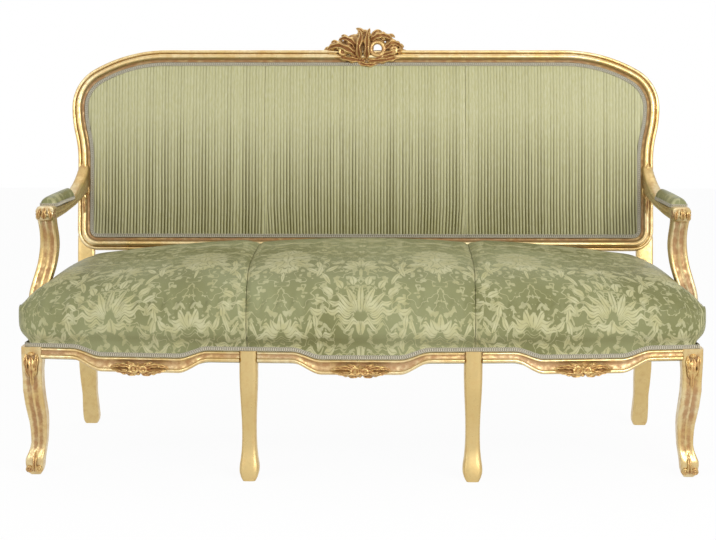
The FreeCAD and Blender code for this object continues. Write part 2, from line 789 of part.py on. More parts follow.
def support_front():
    """Its front view: it spreads to the foot and a little to the arm."""
    top, low = arm_top - arm_deep, show_top
    high = top - low
    outer, inner = support_half, support_half - support_wide
    top_outer = arm_edge(knuckle_front + 30)
    top_inner = top_outer - knuckle_wide + 3
    foot_outer, foot_inner = outer + support_spread * 0.8, inner + support_spread * 0.5
    outline = Outline(front_view, (foot_outer, low))
    outline.arc(
        (outer + support_spread * 1.25, low + high * 0.3), (outer + support_spread * 0.8, low + high * 0.48)
    )
    outline.ogee((outer, low + high * 0.72), upright=True)
    outline.arc((outer + 0.5, low + high * 0.88), (top_outer, top))
    outline.line((top_inner, top)).arc((inner + 0.8, low + high * 0.88), (inner, low + high * 0.72))
    outline.ogee((inner + support_spread * 0.6, low + high * 0.48), upright=True)
    outline.arc((inner + support_spread * 0.85, low + high * 0.3), (foot_inner, low))
    return outline.prism(Vector(0, beyond, 0))


def arm_support():
    body = support_side().common(support_front())
    y0, y1 = support_foot[0] - 20, sum(support_foot) + 60
    body = body.cut(side_board(y0, y1, -rebate, beyond / 2, 0, rail_top))
    return body.fuse([support_tenon(), support_top_tenon()]).removeSplitter()


# Seat upholstery: the swelling form is the space shared by a front, two sides, a rear and a domed top

def grown(points, out):
    """A closed outline of points, counter-clockwise, with each of its lines moved outwards by out."""
    lines = []
    for (ax, ay), (bx, by) in zip(points, points[1:] + points[:1]):
        long = math.hypot(bx - ax, by - ay)
        nx, ny = (by - ay) / long, (ax - bx) / long
        lines.append((nx, ny, nx * ax + ny * ay + out))
    moved = []
    for (a, b, c), (d, e, f) in zip(lines[-1:] + lines[:-1], lines):
        whole = a * e - b * d
        moved.append(((c * e - b * f) / whole, (a * f - c * d) / whole))
    return moved


def roll(bulge, over_wide, over_high):
    """Points (out, height) of the swelling edge, from the gimp up and over into the top."""
    base = show_top + gimp_wide + 3
    low_wide = bulge + rebate
    points = [(-rebate, base - 60), (-rebate, base)]
    for step in range(1, 4):
        turn = math.pi / 2 * (1 - step / 3)
        points.append(
            (
                bulge - low_wide + low_wide * math.cos(turn),
                seat_bulge_at - (seat_bulge_at - base) * math.sin(turn)
            )
        )
    for step in range(1, 5):
        turn = math.radians(75) * step / 4
        points.append((bulge - over_wide * (1 - math.cos(turn)), seat_bulge_at + over_high * math.sin(turn)))
    return points


def seat_front(grow):
    deep = seat_crown_at - corner_face + front_bow
    points = roll(seat_bulge, seat_roll_wide, seat_roll_high)
    points += [
        (-deep * 0.32, seat_crown - 24), (-deep * 0.62, seat_crown - 7), (-deep, seat_crown),
        (-deep * 1.6, seat_crown), (-deep * 1.6, show_top - 60)
    ]
    section_points = [Vector(0, bow_centre - bow_radius - out, z) for out, z in grown(points[::-1], -grow)]
    face = Part.Face(Part.makePolygon([*section_points, section_points[0]]))
    axis = Vector(0, bow_centre, 0)
    swing = math.degrees(math.asin(beyond / bow_radius)) * 1.1
    face.rotate(axis, Vector(0, 0, 1), -swing)
    return face.revolve(axis, Vector(0, 0, 1), 2 * swing)


def seat_side(grow):
    """The right side: it runs along the slanting side of the seat, and its top stands clear of the dome."""
    points = roll(side_bulge, side_roll_wide, side_roll_high)
    points += [
        (-2.2 * seat_half_front, seat_crown + seat_half_front / 2.8), (-2.2 * seat_half_front, show_top - 60)
    ]
    start = corner_face - 4 * front_bow
    corners = [Vector(side_x(start, out), start, z) for out, z in grown(points[::-1], -grow)]
    long = seat_back_face + 60 - start
    return Part.Face(Part.makePolygon([*corners, corners[0]])).extrude(
        Vector(-long * math.tan(side_slant), long, 0)
    )


def seat_rear(grow):
    """The rear: it slopes down to tuck under the back frame and falls to the back seat rail."""
    back, crown_y = seat_back_face, seat_crown_at
    tuck = (frame_foot - 6, frame_back_y - frame_thick - 4)
    points = [
        (
            corner_face - 4 * front_bow, show_top - 60
        ), (back, show_top - 60), (back, rail_top), (back - 4, rail_top + 80),
        (tuck[1], tuck[0]), (
            tuck[1] - 34, seat_crown - 28
        ), (tuck[1] - 92, seat_crown - 8), (crown_y, seat_crown),
        (corner_face - 4 * front_bow, seat_crown)
    ]
    points = grown(points, grow)
    prism = Outline(side_view, points[0]).line(*points[1:]).prism(Vector(2 * beyond, 0, 0))
    prism.translate(Vector(-beyond, 0, 0))
    return prism


def seat_dome(grow):
    """The crowned top: one arc for each of the three panels, sunk where they are seamed together."""
    radius = seat_half_front**2 / (2 * dome_fall)

    def level(x):
        return seat_crown + grow - x * x / (2 * radius)

    seam_level = level(seam_at) - channel_deep
    half = (seam_at + beyond) / 2
    outline = Outline(front_view, (-beyond, show_top - 60)).line(
        (beyond, show_top - 60), (beyond, level(beyond))
    )
    outline.arc((half, level(half)), (seam_at, seam_level)).arc((0, level(0)), (-seam_at, seam_level))
    outline.arc((-half, level(half)), (-beyond, level(beyond)))
    prism = outline.prism(Vector(0, 2 * beyond, 0))
    prism.translate(Vector(0, corner_face - 4 * front_bow, 0))
    return prism


def seat_form(grow, low):
    side = seat_side(grow)
    form = seat_front(grow).common(seat_dome(grow)).common(side).common(mirrored(side)).common(seat_rear(grow))
    return form.cut(box(-2 * beyond, 2 * beyond, -beyond, beyond, 0, low))


def seat_notches(room):
    """What the seat is cut away for: the rear posts and the arm supports."""
    deep = post_thick / math.cos(rake)
    x0 = seat_half_rear - stile_inset - post_wide - room
    lift = (seat_crown - rail_top) * math.tan(rake)
    front = seat_back_face - deep - room
    outline = Outline(side_view, (front, show_top - 80)).line(
        (front, rail_top), (front + lift, seat_crown), (
            front + lift + 150, seat_crown
        ), (front + 150, show_top - 80)
    )
    post = outline.prism(Vector(beyond, 0, 0))
    post.translate(Vector(x0, 0, 0))
    support = support_side(room)
    support.translate(Vector(support_half - support_wide - room - 6, 0, 0))
    return [post, mirrored(post), support, mirrored(support)]


def seat_plan(out, rear, z0, z1):
    """The plan of the seat frame from its front, moved out by out, back to rear, between two levels."""
    front = corner_face - out
    x0, x1 = side_x(front, out), side_x(rear, out)
    y0 = bow_y(x0, out)
    outline = Outline(lambda x, y: Vector(x, y, z0), (-x0, y0)).arc((0, bow_y(0, out)), (x0, y0))
    outline.line((x1, rear), (-x1, rear))
    return outline.prism(Vector(0, 0, z1 - z0))


def frame_core(room, top):
    """The space that the seat frame takes under the stuffing."""
    return seat_plan(-rebate + room, seat_back_face + room, 0, top)


def below_show_line(lift):
    """Everything below the swept top of the gilded wood, raised by lift: front, sides and rear."""
    level = show_top + lift
    front = elevation(show_top - 120, 0, level, rebate_drop)
    side = side_elevation(show_top - 120, level, 0, rebate_drop / 2)
    side = side.common(box(0, beyond, side_rail_front, seat_back_face + 60, 0, level + 10))
    rear = box(-beyond, beyond, side_rail_rear - 5, seat_back_face + 60, 0, level)
    return [front, side, mirrored(side), rear]


def seat_stuffing():
    top = rail_top + strap_thick * 2 + hessian_thick + cloth_gap
    body = seat_form(0.0, show_top + gimp_wide + 3)
    return body.cut([frame_core(cloth_gap + 0.2, top), *seat_notches(4.0)])


def seat_covers():
    """The three panels of the cover, right and centre."""
    inner = seat_form(cloth_gap, show_top - rebate_drop - 10)
    shell = seat_form(cover_thick + cloth_gap, show_top - rebate_drop - 5)
    under = box(-beyond, beyond, -beyond, seat_back_face - 10, 0, show_top + gimp_wide + 1)
    under = under.common(frame_core(cloth_gap, show_top + gimp_wide + 1))
    shell = shell.cut([inner, under, *below_show_line(cloth_gap), *seat_notches(1.5)])
    far = beyond + 20
    edge = seam_at + seam_gap / 2
    inside = seam_at - seam_gap / 2
    right = shell.common(box(edge, far, -far, far, 0, seat_crown + 20))
    centre = shell.common(box(-inside, inside, -far, far, 0, seat_crown + 20))
    return right, centre


def straps(points, y0, y1, z):
    return [box(x - strap_wide / 2, x + strap_wide / 2, y0, y1, z, z + strap_thick) for x in points]


def seat_webbing():
    """Straps from the front rails to the back rail, and straps along the seat over them."""
    solids = []
    pitch = 1.75 * strap_wide
    count = int((seat_half_rear - post_wide - strap_wide) / pitch)
    inset = -rebate - 6
    for n in range(-count, count + 1):
        x = n * pitch
        front = max(bow_y(abs(x) + strap_wide / 2, inset), bow_y(abs(x) - strap_wide / 2, inset))
        solids += straps([x], front, seat_back_face - 6, rail_top)
    first, last = side_rail_front + strap_wide, seat_back_face - post_thick - strap_wide
    support_end = sum(support_foot) + strap_wide / 2 + 18
    first = max(first, support_end)
    rows = int((last - first) / pitch) + 1
    for n in range(rows):
        y = first + (last - first) * n / (rows - 1)
        half = side_x(y + strap_wide / 2, inset)
        z = rail_top + strap_thick
        solids.append(box(-half, half, y - strap_wide / 2, y + strap_wide / 2, z, z + strap_thick))
    return solids


def seat_hessian():
    z = rail_top + 2 * strap_thick
    sheet = seat_plan(-rebate - 12, seat_back_face - 8, z, z + hessian_thick)
    return sheet.cut(seat_notches(6.0))


def dust_cover():
    """The cloth that closes the seat from below, tacked up to the stretchers between the rails."""
    z = show_top - stretcher_deep - cloth_gap - hessian_thick
    sheet = seat_plan(-rail_thick - 1, seat_back_face - post_thick - 1, z, z + hessian_thick)
    corner = seat_half_front - leg_width - 1
    post = seat_half_rear - stile_inset - post_wide - 1
    rear = seat_back_face - post_thick / math.cos(rake) - 1
    half = middle_leg_width / 2 + 1
    legs = [
        box(corner, beyond, corner_face - 20, corner_face + leg_width + 1, 0, rail_top),
        box(post, beyond, rear, seat_back_face + 20, 0, rail_top),
        box(middle_leg_at - half, middle_leg_at + half, corner_face - front_bow - 20,
            bow_y(middle_leg_at) + leg_width + 1, 0, rail_top),
    ]
    return sheet.cut([*legs, *[mirrored(leg) for leg in legs]])


def seat_gimp():
    """The braid along the lower edge of the cover, at the front and along both sides."""
    base = cover_thick + 2 * cloth_gap
    ring = frame_core(base + gimp_thick, rail_top).cut(frame_core(base, rail_top))
    level = show_top + cloth_gap
    half_y = side_rail_front
    front = elevation(level, rebate_drop, level + gimp_wide, rebate_drop).common(
        box(-beyond, beyond, -beyond, half_y, 0, rail_top)
    )
    side = side_elevation(level, level + gimp_wide, rebate_drop / 2, rebate_drop / 2).common(
        box(0, beyond, half_y, side_rail_rear - 2, 0, rail_top)
    )
    support = support_side(1.0)
    support.translate(Vector(seat_half_rear - 60, 0, 0))
    cuts = [support, mirrored(support)]
    strips = [ring.common(band) for band in (front, side, mirrored(side))]
    return strips[0].fuse(strips[1:]).removeSplitter().cut(cuts)


# Back upholstery

def back_outline(inset):
    """The outline of the back frame, moved inwards by inset."""
    flatter, tighter = crown_arcs()
    waist, degrees = waist_radius()
    turn = math.radians(90 - crown_turn)
    bend = math.radians(degrees)

    def on(centre, radius, angle):
        return (centre[0] + radius * math.cos(angle), centre[1] + radius * math.sin(angle))

    foot = (frame_half - foot_round, foot_round)
    low, high = (frame_half + waist, waist_at), (frame_shoulder_half - waist, shoulder_at)
    shoulder = (frame_shoulder_half - tighter, shoulder_at)
    knee = on(shoulder, tighter, turn)
    far = on(knee, -flatter, turn)
    half_pi = math.pi / 2
    right = [
        ((foot[0], inset), None),
        (on(foot, foot_round - inset, 0), on(foot, foot_round - inset, -half_pi / 2)),
        ((frame_half - inset, waist_at), None),
        (on(low, waist + inset, math.pi - bend), on(low, waist + inset, math.pi - bend / 2)),
        (on(high, waist - inset, 0), on(high, waist - inset, -bend / 2)),
        (on(shoulder, tighter - inset, turn), on(shoulder, tighter - inset, turn / 2)),
        ((far[0], far[1] + flatter - inset), on(far, flatter - inset, (turn + half_pi) / 2)),
    ]
    outline = Outline(flat, right[0][0])
    for end, through in right[1:]:
        outline = outline.arc(through, end) if through else outline.line(end)
    left = [((-end[0], end[1]), through and (-through[0], through[1])) for end, through in right]
    outline.line(left[-1][0])
    for (end, _), (_, through) in zip(left[-2::-1], left[:0:-1]):
        outline = outline.arc(through, end) if through else outline.line(end)
    return outline


def back_slab(inset, low, high):
    slab = back_outline(inset).prism(Vector(0, 0, high - low))
    slab.translate(Vector(0, 0, low))
    return slab


def back_dome(grow):
    """The crowned front of the back: it swells across and upwards, and is sunk at the two seams."""
    edge, top = ledge_thick + 7 + grow, ledge_thick + back_crown + grow
    across, reach = (frame_shoulder_half - mould_wide), frame_half + 60
    radius = (across**2 + (top - edge) ** 2) / (2 * (top - edge))

    def level(x):
        return top - x * x / (2 * radius)

    half = (seam_at + reach) / 2
    seam_level = level(seam_at) - channel_deep
    outline = Outline(front_view, (-reach, 0)).line((reach, 0), (reach, level(reach)))
    outline.arc((half, level(half)), (seam_at, seam_level)).arc((0, level(0)), (-seam_at, seam_level))
    outline.arc((-half, level(half)), (-reach, level(reach)))
    wide = outline.prism(Vector(0, -frame_high, 0))
    wide.translate(Vector(0, frame_high, 0))
    low, high = mould_wide, frame_high - mould_wide
    upright = Outline(lambda y, z: Vector(-reach, y, z), (low - 20, 0)).line((low - 20, edge), (low, edge))
    upright.arc(((low + high) / 2, top), (high, edge)).line((high + 20, edge), (high + 20, 0))
    return wide.common(upright.prism(Vector(2 * reach, 0, 0)))


def back_stuffing():
    low = ledge_thick + 2 * strap_thick + hessian_thick + 2 * cloth_gap
    return lean(
        back_slab(mould_wide + cover_thick + 2 * cloth_gap, low, low + back_crown).common(back_dome(0.0))
    )


def back_covers():
    low = ledge_thick + cloth_gap
    shell = back_slab(mould_wide + cloth_gap, low, low + 2 * back_crown).common(
        back_dome(cover_thick + cloth_gap)
    )
    inner = back_slab(
        mould_wide + cloth_gap + cover_thick, 0, low + 2 * back_crown
    ).common(back_dome(cloth_gap))
    shell = shell.cut(inner)
    far, edge, inside = beyond, seam_at + seam_gap / 2, seam_at - seam_gap / 2
    right = shell.common(box(edge, far, 0, far, 0, 100))
    centre = shell.common(box(-inside, inside, 0, far, 0, 100))
    return lean(right), lean(centre)


def back_gimp():
    """The braid round the back, on the edge of its cover."""
    base = cover_thick + 2 * cloth_gap
    ring = back_slab(mould_wide + cloth_gap, ledge_thick, ledge_thick + 2 * back_crown).cut(
        back_slab(mould_wide + cloth_gap + gimp_wide, 0, 3 * back_crown)
    )
    return lean(ring.common(back_dome(base + gimp_thick)).cut(back_dome(base)))


def back_straps():
    solids = []
    pitch = 1.75 * strap_wide
    low, high = mould_wide + cover_thick + 2, frame_high - mould_wide - cover_thick - 2
    z = ledge_thick
    level_half = frame_shoulder_half - crown_wide
    count = int((level_half - strap_wide / 2) / pitch)
    for n in range(-count, count + 1):
        x = n * pitch
        solids.append(box(x - strap_wide / 2, x + strap_wide / 2, low, high, z, z + strap_thick))
    half = frame_half - mould_wide - cover_thick - 2
    rows = int((shoulder_at - foot_round - strap_wide) / pitch) + 1
    for n in range(rows):
        y = foot_round + strap_wide / 2 + n * pitch
        top = z + strap_thick
        solids.append(box(-half, half, y - strap_wide / 2, y + strap_wide / 2, top, top + strap_thick))
    return [lean(s) for s in solids]


def back_hessian():
    low = ledge_thick + 2 * strap_thick + cloth_gap
    return lean(back_slab(mould_wide + cover_thick + 4, low, low + hessian_thick))


def outside_cover():
    """The cloth on the rear of the back frame."""
    return lean(back_slab(outside_inset, -cover_thick - cloth_gap, -cloth_gap))


def outside_gimp():
    base = -cover_thick - 2 * cloth_gap
    ring = back_slab(outside_inset, base - gimp_thick, base)
    return lean(ring.cut(back_slab(outside_inset + gimp_wide, base - 2 * gimp_thick, 0)))


# Crest

def shell_points():
    """Scalloped outline of the shell: tips on an arch over the rail, with hollows between them."""
    tips = []
    for n in range(crest_lobes + 1):
        angle = math.pi * n / crest_lobes
        peak = abs(math.cos(angle)) ** 1.6
        reach = crest_half * abs(math.cos(angle)) ** 0.85
        high = 6 + (crest_high - 6) * (1 - peak)
        tips.append((math.copysign(reach, math.cos(angle)), frame_high + high))
    return tips


def crest():
    """The pierced shell that stands on the top rail, with a skirt over the face of the moulding."""
    tips = shell_points()
    face = frame_thick + cloth_gap
    outline = Outline(flat, (-crest_half, frame_high)).line((crest_half, frame_high), tips[0])
    for (ax, ay), (bx, by) in zip(tips, tips[1:]):
        mx, my = (ax + bx) / 2, (ay + by) / 2
        out = 0.16 * math.hypot(bx - ax, by - ay)
        long = math.hypot(mx, my - frame_high + 30)
        nx, ny = out * mx / long, out * (my - frame_high + 30) / long
        for share in (1, 2):
            outline.line((ax + (bx - ax) * share / 3 + 0.9 * nx, ay + (by - ay) * share / 3 + 0.9 * ny))
        outline.line((bx, by))
    upper = outline.prism(Vector(0, 0, face + crest_proud - crest_back))
    upper.translate(Vector(0, 0, crest_back))
    skirt_outline = Outline(flat, (-crest_half, frame_high + 4)).line((-crest_half, frame_high - 14))
    half = crest_half / 2
    fall = [(1.5, 0.68), (1.0, 0.7), (0.55, 0.95), (0.2, 1.06)]
    for side, order in ((-1, fall), (1, fall[::-1])):
        skirt_outline.line(
            *[(side * half * across, frame_high - crest_drop * down) for across, down in order]
        )
    skirt_outline.line((crest_half, frame_high - 14), (crest_half, frame_high + 4))
    skirt = skirt_outline.prism(Vector(0, 0, crest_proud))
    skirt.translate(Vector(0, 0, face))
    holes = []
    for x in (-0.52, 0.52):
        hole = Part.makeCylinder(
            crest_hole / 2, 100, Vector(x * crest_half, frame_high + crest_high * 0.3, 0)
        )
        holes.append(hole)
    return lean(upper.fuse(skirt).removeSplitter().cut(holes))


# Arm pads

def pad_plan(inset, y0, y1, z0, z1):
    """The part of the arm between y0 and y1, drawn in by inset at each side."""
    middle = (arm_pad_front + arm_pad_rear) / 2
    outline = Outline(lambda a, b: Vector(a, b, z0), (arm_edge(y1, True) + inset, y1))
    outline.line((arm_edge(middle, True) + inset, middle), (arm_edge(y0, True) + inset, y0))
    outline.line((arm_edge(y0) - inset, y0), (arm_edge(middle) - inset, middle), (arm_edge(y1) - inset, y1))
    return outline.prism(Vector(0, 0, z1 - z0))


def pad_form(grow):
    """A domed pad on the arm, grown by grow."""
    low = arm_top - arm_drop + cloth_gap
    y0, y1 = arm_pad_front - grow, arm_pad_rear + grow
    high, edge = low + arm_pad_high + grow, low + arm_pad_high * 0.45 + grow
    body = pad_plan(arm_pad_inset - grow, y0, y1, low, high + 5)
    shoulder = 26.0
    turn, rise = shoulder * 0.35, high - 4
    side = Outline(side_view, (y0, low)).line((y0, edge), (y0 + turn, rise), (y0 + shoulder, high))
    side.line((y1 - shoulder, high), (y1 - turn, rise), (y1, edge), (y1, low))
    body = body.common(side.prism(Vector(beyond, 0, 0)))
    mid_front = (arm_edge(y0) + arm_edge(y0, True)) / 2
    mid_rear = (arm_edge(y1) + arm_edge(y1, True)) / 2
    half, steps = knuckle_wide / 2, 4
    rise = high - edge + 4
    points = [
        (half * math.cos(n * math.pi / (2 * steps)), edge - 4 + rise * math.sin(n * math.pi / (2 * steps)))
        for n in range(2 * steps + 1)
    ]
    crown = Outline(lambda x, z: Vector(mid_front + x, y0, z), (-half, low - 5))
    crown.line((half, low - 5), *points)
    return body.common(crown.prism(Vector(mid_rear - mid_front, y1 - y0, 0)))


def arm_pad_parts():
    """The stuffing, the cover and the braid of an arm pad."""
    low = arm_top - arm_drop + cloth_gap
    stuffing = pad_form(0.0)
    cover = pad_form(cover_thick + cloth_gap).cut(pad_form(cloth_gap))
    base = cover_thick + 2 * cloth_gap
    y0, y1 = arm_pad_front - base, arm_pad_rear + base
    ring = pad_plan(
        arm_pad_inset - base - gimp_thick, y0 - gimp_thick, y1 + gimp_thick, low, low + arm_gimp_high
    )
    return stuffing, cover, ring.cut(pad_plan(arm_pad_inset - base, y0, y1, low - 5, low + 30))


def build():
    inner = middle_leg_at - middle_leg_width / 2
    outer = middle_leg_at + middle_leg_width / 2
    write("front_rail_centre", front_rail(-inner, inner))
    write_pair("front_rail", front_rail(outer, seat_half_front - leg_width))
    write_pair("front_leg", corner_leg())
    write_pair("middle_leg", middle_leg())
    write_pair("side_rail", side_rail())
    write("back_seat_rail", back_seat_rail())
    write_pair("seat_stretcher", seat_stretcher())
    write("corner_blocks", *corner_blocks())
    write("back_top_rail", back_top_rail())
    write("back_bottom_rail", back_bottom_rail())
    write_pair("back_muntin", back_muntin())
    write_pair("rear_post", rear_post())
    write("crest", crest())
    write_pair("arm", arm())
    write_pair("arm_support", arm_support())

    write("seat_webbing", *seat_webbing())
    write("seat_hessian", seat_hessian())
    write("seat_stuffing", seat_stuffing())
    right, centre = seat_covers()
    write_pair("seat_cover", right)
    write("seat_cover_centre", centre)
    write("seat_gimp", seat_gimp())
    write("dust_cover", dust_cover())

    write("back_webbing", *back_straps())
    write("back_hessian", back_hessian())
    write("back_stuffing", back_stuffing())
    right, centre = back_covers()
    write_pair("back_cover", right)
    write("back_cover_centre", centre)
    write("back_gimp", back_gimp())
    write("outside_back_cover", outside_cover())
    write("outside_back_gimp", outside_gimp())

    stuffing, cover, gimp = arm_pad_parts()
    write_pair("arm_stuffing", stuffing)
    write_pair("arm_cover", cover)
    write_pair("arm_gimp", gimp)


if __name__ == "__main__":
    build()
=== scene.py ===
import bpy, bmesh, math
import numpy as np
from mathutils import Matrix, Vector
from mathutils.bvhtree import BVHTree

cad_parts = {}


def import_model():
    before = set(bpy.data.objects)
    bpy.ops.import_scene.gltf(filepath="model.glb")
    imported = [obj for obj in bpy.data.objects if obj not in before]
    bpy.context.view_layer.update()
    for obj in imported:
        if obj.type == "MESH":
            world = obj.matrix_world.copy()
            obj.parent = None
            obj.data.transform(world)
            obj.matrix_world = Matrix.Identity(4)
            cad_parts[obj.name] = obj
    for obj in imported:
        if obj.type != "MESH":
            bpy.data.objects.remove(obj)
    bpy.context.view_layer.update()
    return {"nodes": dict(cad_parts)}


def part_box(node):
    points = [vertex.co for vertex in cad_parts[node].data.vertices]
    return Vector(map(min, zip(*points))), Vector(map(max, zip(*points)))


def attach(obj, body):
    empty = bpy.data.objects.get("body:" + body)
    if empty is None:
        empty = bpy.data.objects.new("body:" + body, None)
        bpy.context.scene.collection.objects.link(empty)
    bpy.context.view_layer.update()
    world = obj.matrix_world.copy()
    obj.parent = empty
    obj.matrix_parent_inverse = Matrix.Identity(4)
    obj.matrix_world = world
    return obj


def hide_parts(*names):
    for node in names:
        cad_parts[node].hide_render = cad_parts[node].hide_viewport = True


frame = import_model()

# Layout of the sofa in millimetres: x across, y back from the corner legs, z up
layout = {
    "rake": math.radians(9.0),
    "frameFoot": 495.0,
    "railBack": 576.0,
    "showTop": 322.0,
    "showBottom": 296.0,
    "bowCentre": 5543.5,
    "bowRadius": 5631.5,
    "cornerHalf": 840.0,
    "cornerFront": -25.0,
    "sideSlant": 38.0 / 601.0,
    "seamAt": 278.5,
}
layout["frameBack"] = layout["railBack"] + 149.0 * math.tan(layout["rake"])
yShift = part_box("back_seat_rail")[1].y * 1000 - layout["railBack"]


def world(points):
    return (np.asarray(points, float) + (0, yShift, 0)) / 1000


def leaned(x, v, w):  # v runs up the raked back, w out of its rear face towards the sitter
    x, v, w = np.broadcast_arrays(np.asarray(x, float), v, w)
    s, c = math.sin(layout["rake"]), math.cos(layout["rake"])
    return world(np.stack([x, layout["frameBack"] + v * s - w * c, layout["frameFoot"] + v * c + w * s], -1))


def bowY(x, out=0.0):
    return layout["bowCentre"] - np.sqrt((layout["bowRadius"] + out) ** 2 - np.square(x))


def sideX(y, out=0.0):
    return layout["cornerHalf"] - (y - layout["cornerFront"]) * layout["sideSlant"] + out


def smooth(x, low, high):
    t = np.clip((x - low) / (high - low), 0, 1)
    return t * t * (3 - 2 * t)


# Meshes

def gridFaces(rows, cols, roundRows=False, roundCols=False, start=0):
    i = np.arange(rows if roundRows else rows - 1)[:, None]
    j = np.arange(cols if roundCols else cols - 1)[None, :]
    a, b = i * cols, (i + 1) % rows * cols
    k = (j + 1) % cols
    faces = np.stack([a + j, a + k, b + k, b + j], -1).reshape(-1, 4) + start
    return faces.tolist()


def loft(rings, capped=True, roundPath=False):
    rings = np.asarray(rings)
    rows, cols = rings.shape[:2]
    faces = gridFaces(rows, cols, roundPath, True)
    if capped and not roundPath:
        faces += [list(range(cols))[::-1], list(range((rows - 1) * cols, rows * cols))]
    return rings.reshape(-1, 3), faces


def together(parts):
    points, faces, start = [], [], 0
    for verts, some in parts:
        points.append(verts)
        faces += [[n + start for n in face] for face in some]
        start += len(verts)
    return np.concatenate(points), faces


def makeMesh(name, points, faces, values=None, uv=None, sharp=None):
    mesh = bpy.data.meshes.new(name)
    mesh.from_pydata(np.asarray(points).tolist(), [], faces)
    if values is not None:
        mesh.attributes.new("recess", "FLOAT", "POINT").data.foreach_set(
            "value", np.asarray(values, np.float32),
        )
    if uv is not None:
        layer = mesh.uv_layers.new(name="Cloth")
        corner = np.empty(len(mesh.loops), np.int32)
        mesh.loops.foreach_get("vertex_index", corner)
        layer.data.foreach_set("uv", np.asarray(uv, np.float32)[corner].ravel())
    form = bmesh.new()
    form.from_mesh(mesh)
    bmesh.ops.recalc_face_normals(form, faces=form.faces)
    form.to_mesh(mesh)
    form.free()
    mesh.polygons.foreach_set("use_smooth", [True] * len(mesh.polygons))
    if sharp:
        mesh.set_sharp_from_angle(angle=math.radians(sharp))
    mesh.update()
    return mesh


def addObject(name, mesh):
    piece = bpy.data.objects.new(name, mesh)
    bpy.context.scene.collection.objects.link(piece)
    return piece


def settle(piece, material, nodes=()):  # finish, slot, body and the nodes it replaces
    piece.data.materials.clear()
    piece.data.materials.append(material)
    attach(piece, "root")
    if nodes:
        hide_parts(*nodes)
    return piece


def meshPoints(mesh):
    points = np.empty(len(mesh.vertices) * 3)
    mesh.vertices.foreach_get("co", points)
    return points.reshape(-1, 3)


def setPoints(mesh, points):
    mesh.vertices.foreach_set("co", np.asarray(points, np.float64).ravel())
    mesh.update()


def meshEdges(mesh):
    edges = np.empty(len(mesh.edges) * 2, np.int32)
    mesh.edges.foreach_get("vertices", edges)
    return edges.reshape(-1, 2)


def blurred(values, edges, times):
    count = np.bincount(edges.ravel(), minlength=len(values)).astype(float)
    flat = values.reshape(len(values), -1).astype(float)
    for _ in range(times):
        total = np.zeros_like(flat)
        np.add.at(total, edges[:, 0], flat[edges[:, 1]])
        np.add.at(total, edges[:, 1], flat[edges[:, 0]])
        flat = 0.5 * flat + 0.5 * total / np.maximum(count, 1)[:, None]
    return flat.reshape(values.shape)


# The gold darkens where recess is high: partly bole and toning, partly painted shade in the hollows.
def markHollows(mesh, strength=1.0, spread=4):  # recess is 1 in a hollow and 0 on a ridge
    points, edges = meshPoints(mesh), meshEdges(mesh)
    around = blurred(points, edges, spread)
    normals = np.empty(len(points) * 3)
    mesh.vertices.foreach_get("normal", normals)
    depth = ((around - points) * normals.reshape(-1, 3)).sum(1) * 1000
    value = np.clip(0.60 + strength * depth, 0, 1)
    value = blurred(value, edges, 1)
    if "recess" not in mesh.attributes:
        mesh.attributes.new("recess", "FLOAT", "POINT")
    mesh.attributes["recess"].data.foreach_set("value", value.astype(np.float32))


def fused(name, parts, voxel, rounds=2):  # carved work: all its leaves and scrolls grown into one solid
    piece = addObject(name, makeMesh(name, *together(parts)))
    remesh = piece.modifiers.new("Fuse", "REMESH")
    remesh.mode, remesh.voxel_size = "VOXEL", voxel / 1000
    made = bpy.data.meshes.new_from_object(piece.evaluated_get(bpy.context.evaluated_depsgraph_get()))
    piece.modifiers.clear()
    piece.data = made
    setPoints(made, blurred(meshPoints(made), meshEdges(made), rounds))
    made.polygons.foreach_set("use_smooth", [True] * len(made.polygons))
    return piece


def curveThrough(knots, count):  # a smooth line through knots, Catmull-Rom
    knots = np.asarray(knots, float)
    ends = np.vstack([2 * knots[0] - knots[1], knots, 2 * knots[-1] - knots[-2]])
    t = np.linspace(0, len(knots) - 1 - 1e-9, count)
    i = t.astype(int)
    f = (t - i)[:, None]
    a, b, c, d = ends[i], ends[i + 1], ends[i + 2], ends[i + 3]
    return 0.5 * (2 * b + (c - a) * f + (2 * a - 5 * b + 4 * c - d) * f**2 + (3 * b - a - 3 * c + d) * f**3)


def unit(v):
    return v / np.maximum(np.linalg.norm(v, axis=-1, keepdims=True), 1e-9)


# Shader nodes

def addNode(tree, kind, inputs=None, **settings):
    node = tree.nodes.new(kind)
    for key, value in settings.items():
        setattr(node, key, value)
    for key, value in (inputs or {}).items():
        if isinstance(value, bpy.types.NodeSocket):
            tree.links.new(value, node.inputs[key])
        else:
            node.inputs[key].default_value = value
    return node


def calc(tree, operation, *values, clamp=False):
    return addNode(
        tree, "ShaderNodeMath", dict(enumerate(values)), operation=operation, use_clamp=clamp,
    ).outputs[0]


def fade(tree, value, low, high, toLow=0.0, toHigh=1.0):
    settings = {"Value": value, "From Min": low, "From Max": high, "To Min": toLow, "To Max": toHigh}
    return addNode(tree, "ShaderNodeMapRange", settings, clamp=True).outputs[0]


def mixColour(tree, share, first, second):
    node = tree.nodes.new("ShaderNodeMix")
    node.data_type, node.blend_type, node.clamp_factor = "RGBA", "MIX", True
    for socket, value in zip((node.inputs[0], node.inputs[6], node.inputs[7]), (share, first, second)):
        if isinstance(value, bpy.types.NodeSocket):
            tree.links.new(value, socket)
        else:
            socket.default_value = value if isinstance(value, float) else (*value, 1.0)
    return node.outputs[2]


def noiseOf(tree, vector, scale, detail=2.0, rough=0.5, seed=0.0):
    shift = addNode(tree, "ShaderNodeVectorMath", {0: vector, 1: (seed, seed * 0.7, seed * 1.3)}).outputs[0]
    settings = {"Vector": shift, "Scale": scale, "Detail": detail, "Roughness": rough}
    return addNode(tree, "ShaderNodeTexNoise", settings).outputs[0]


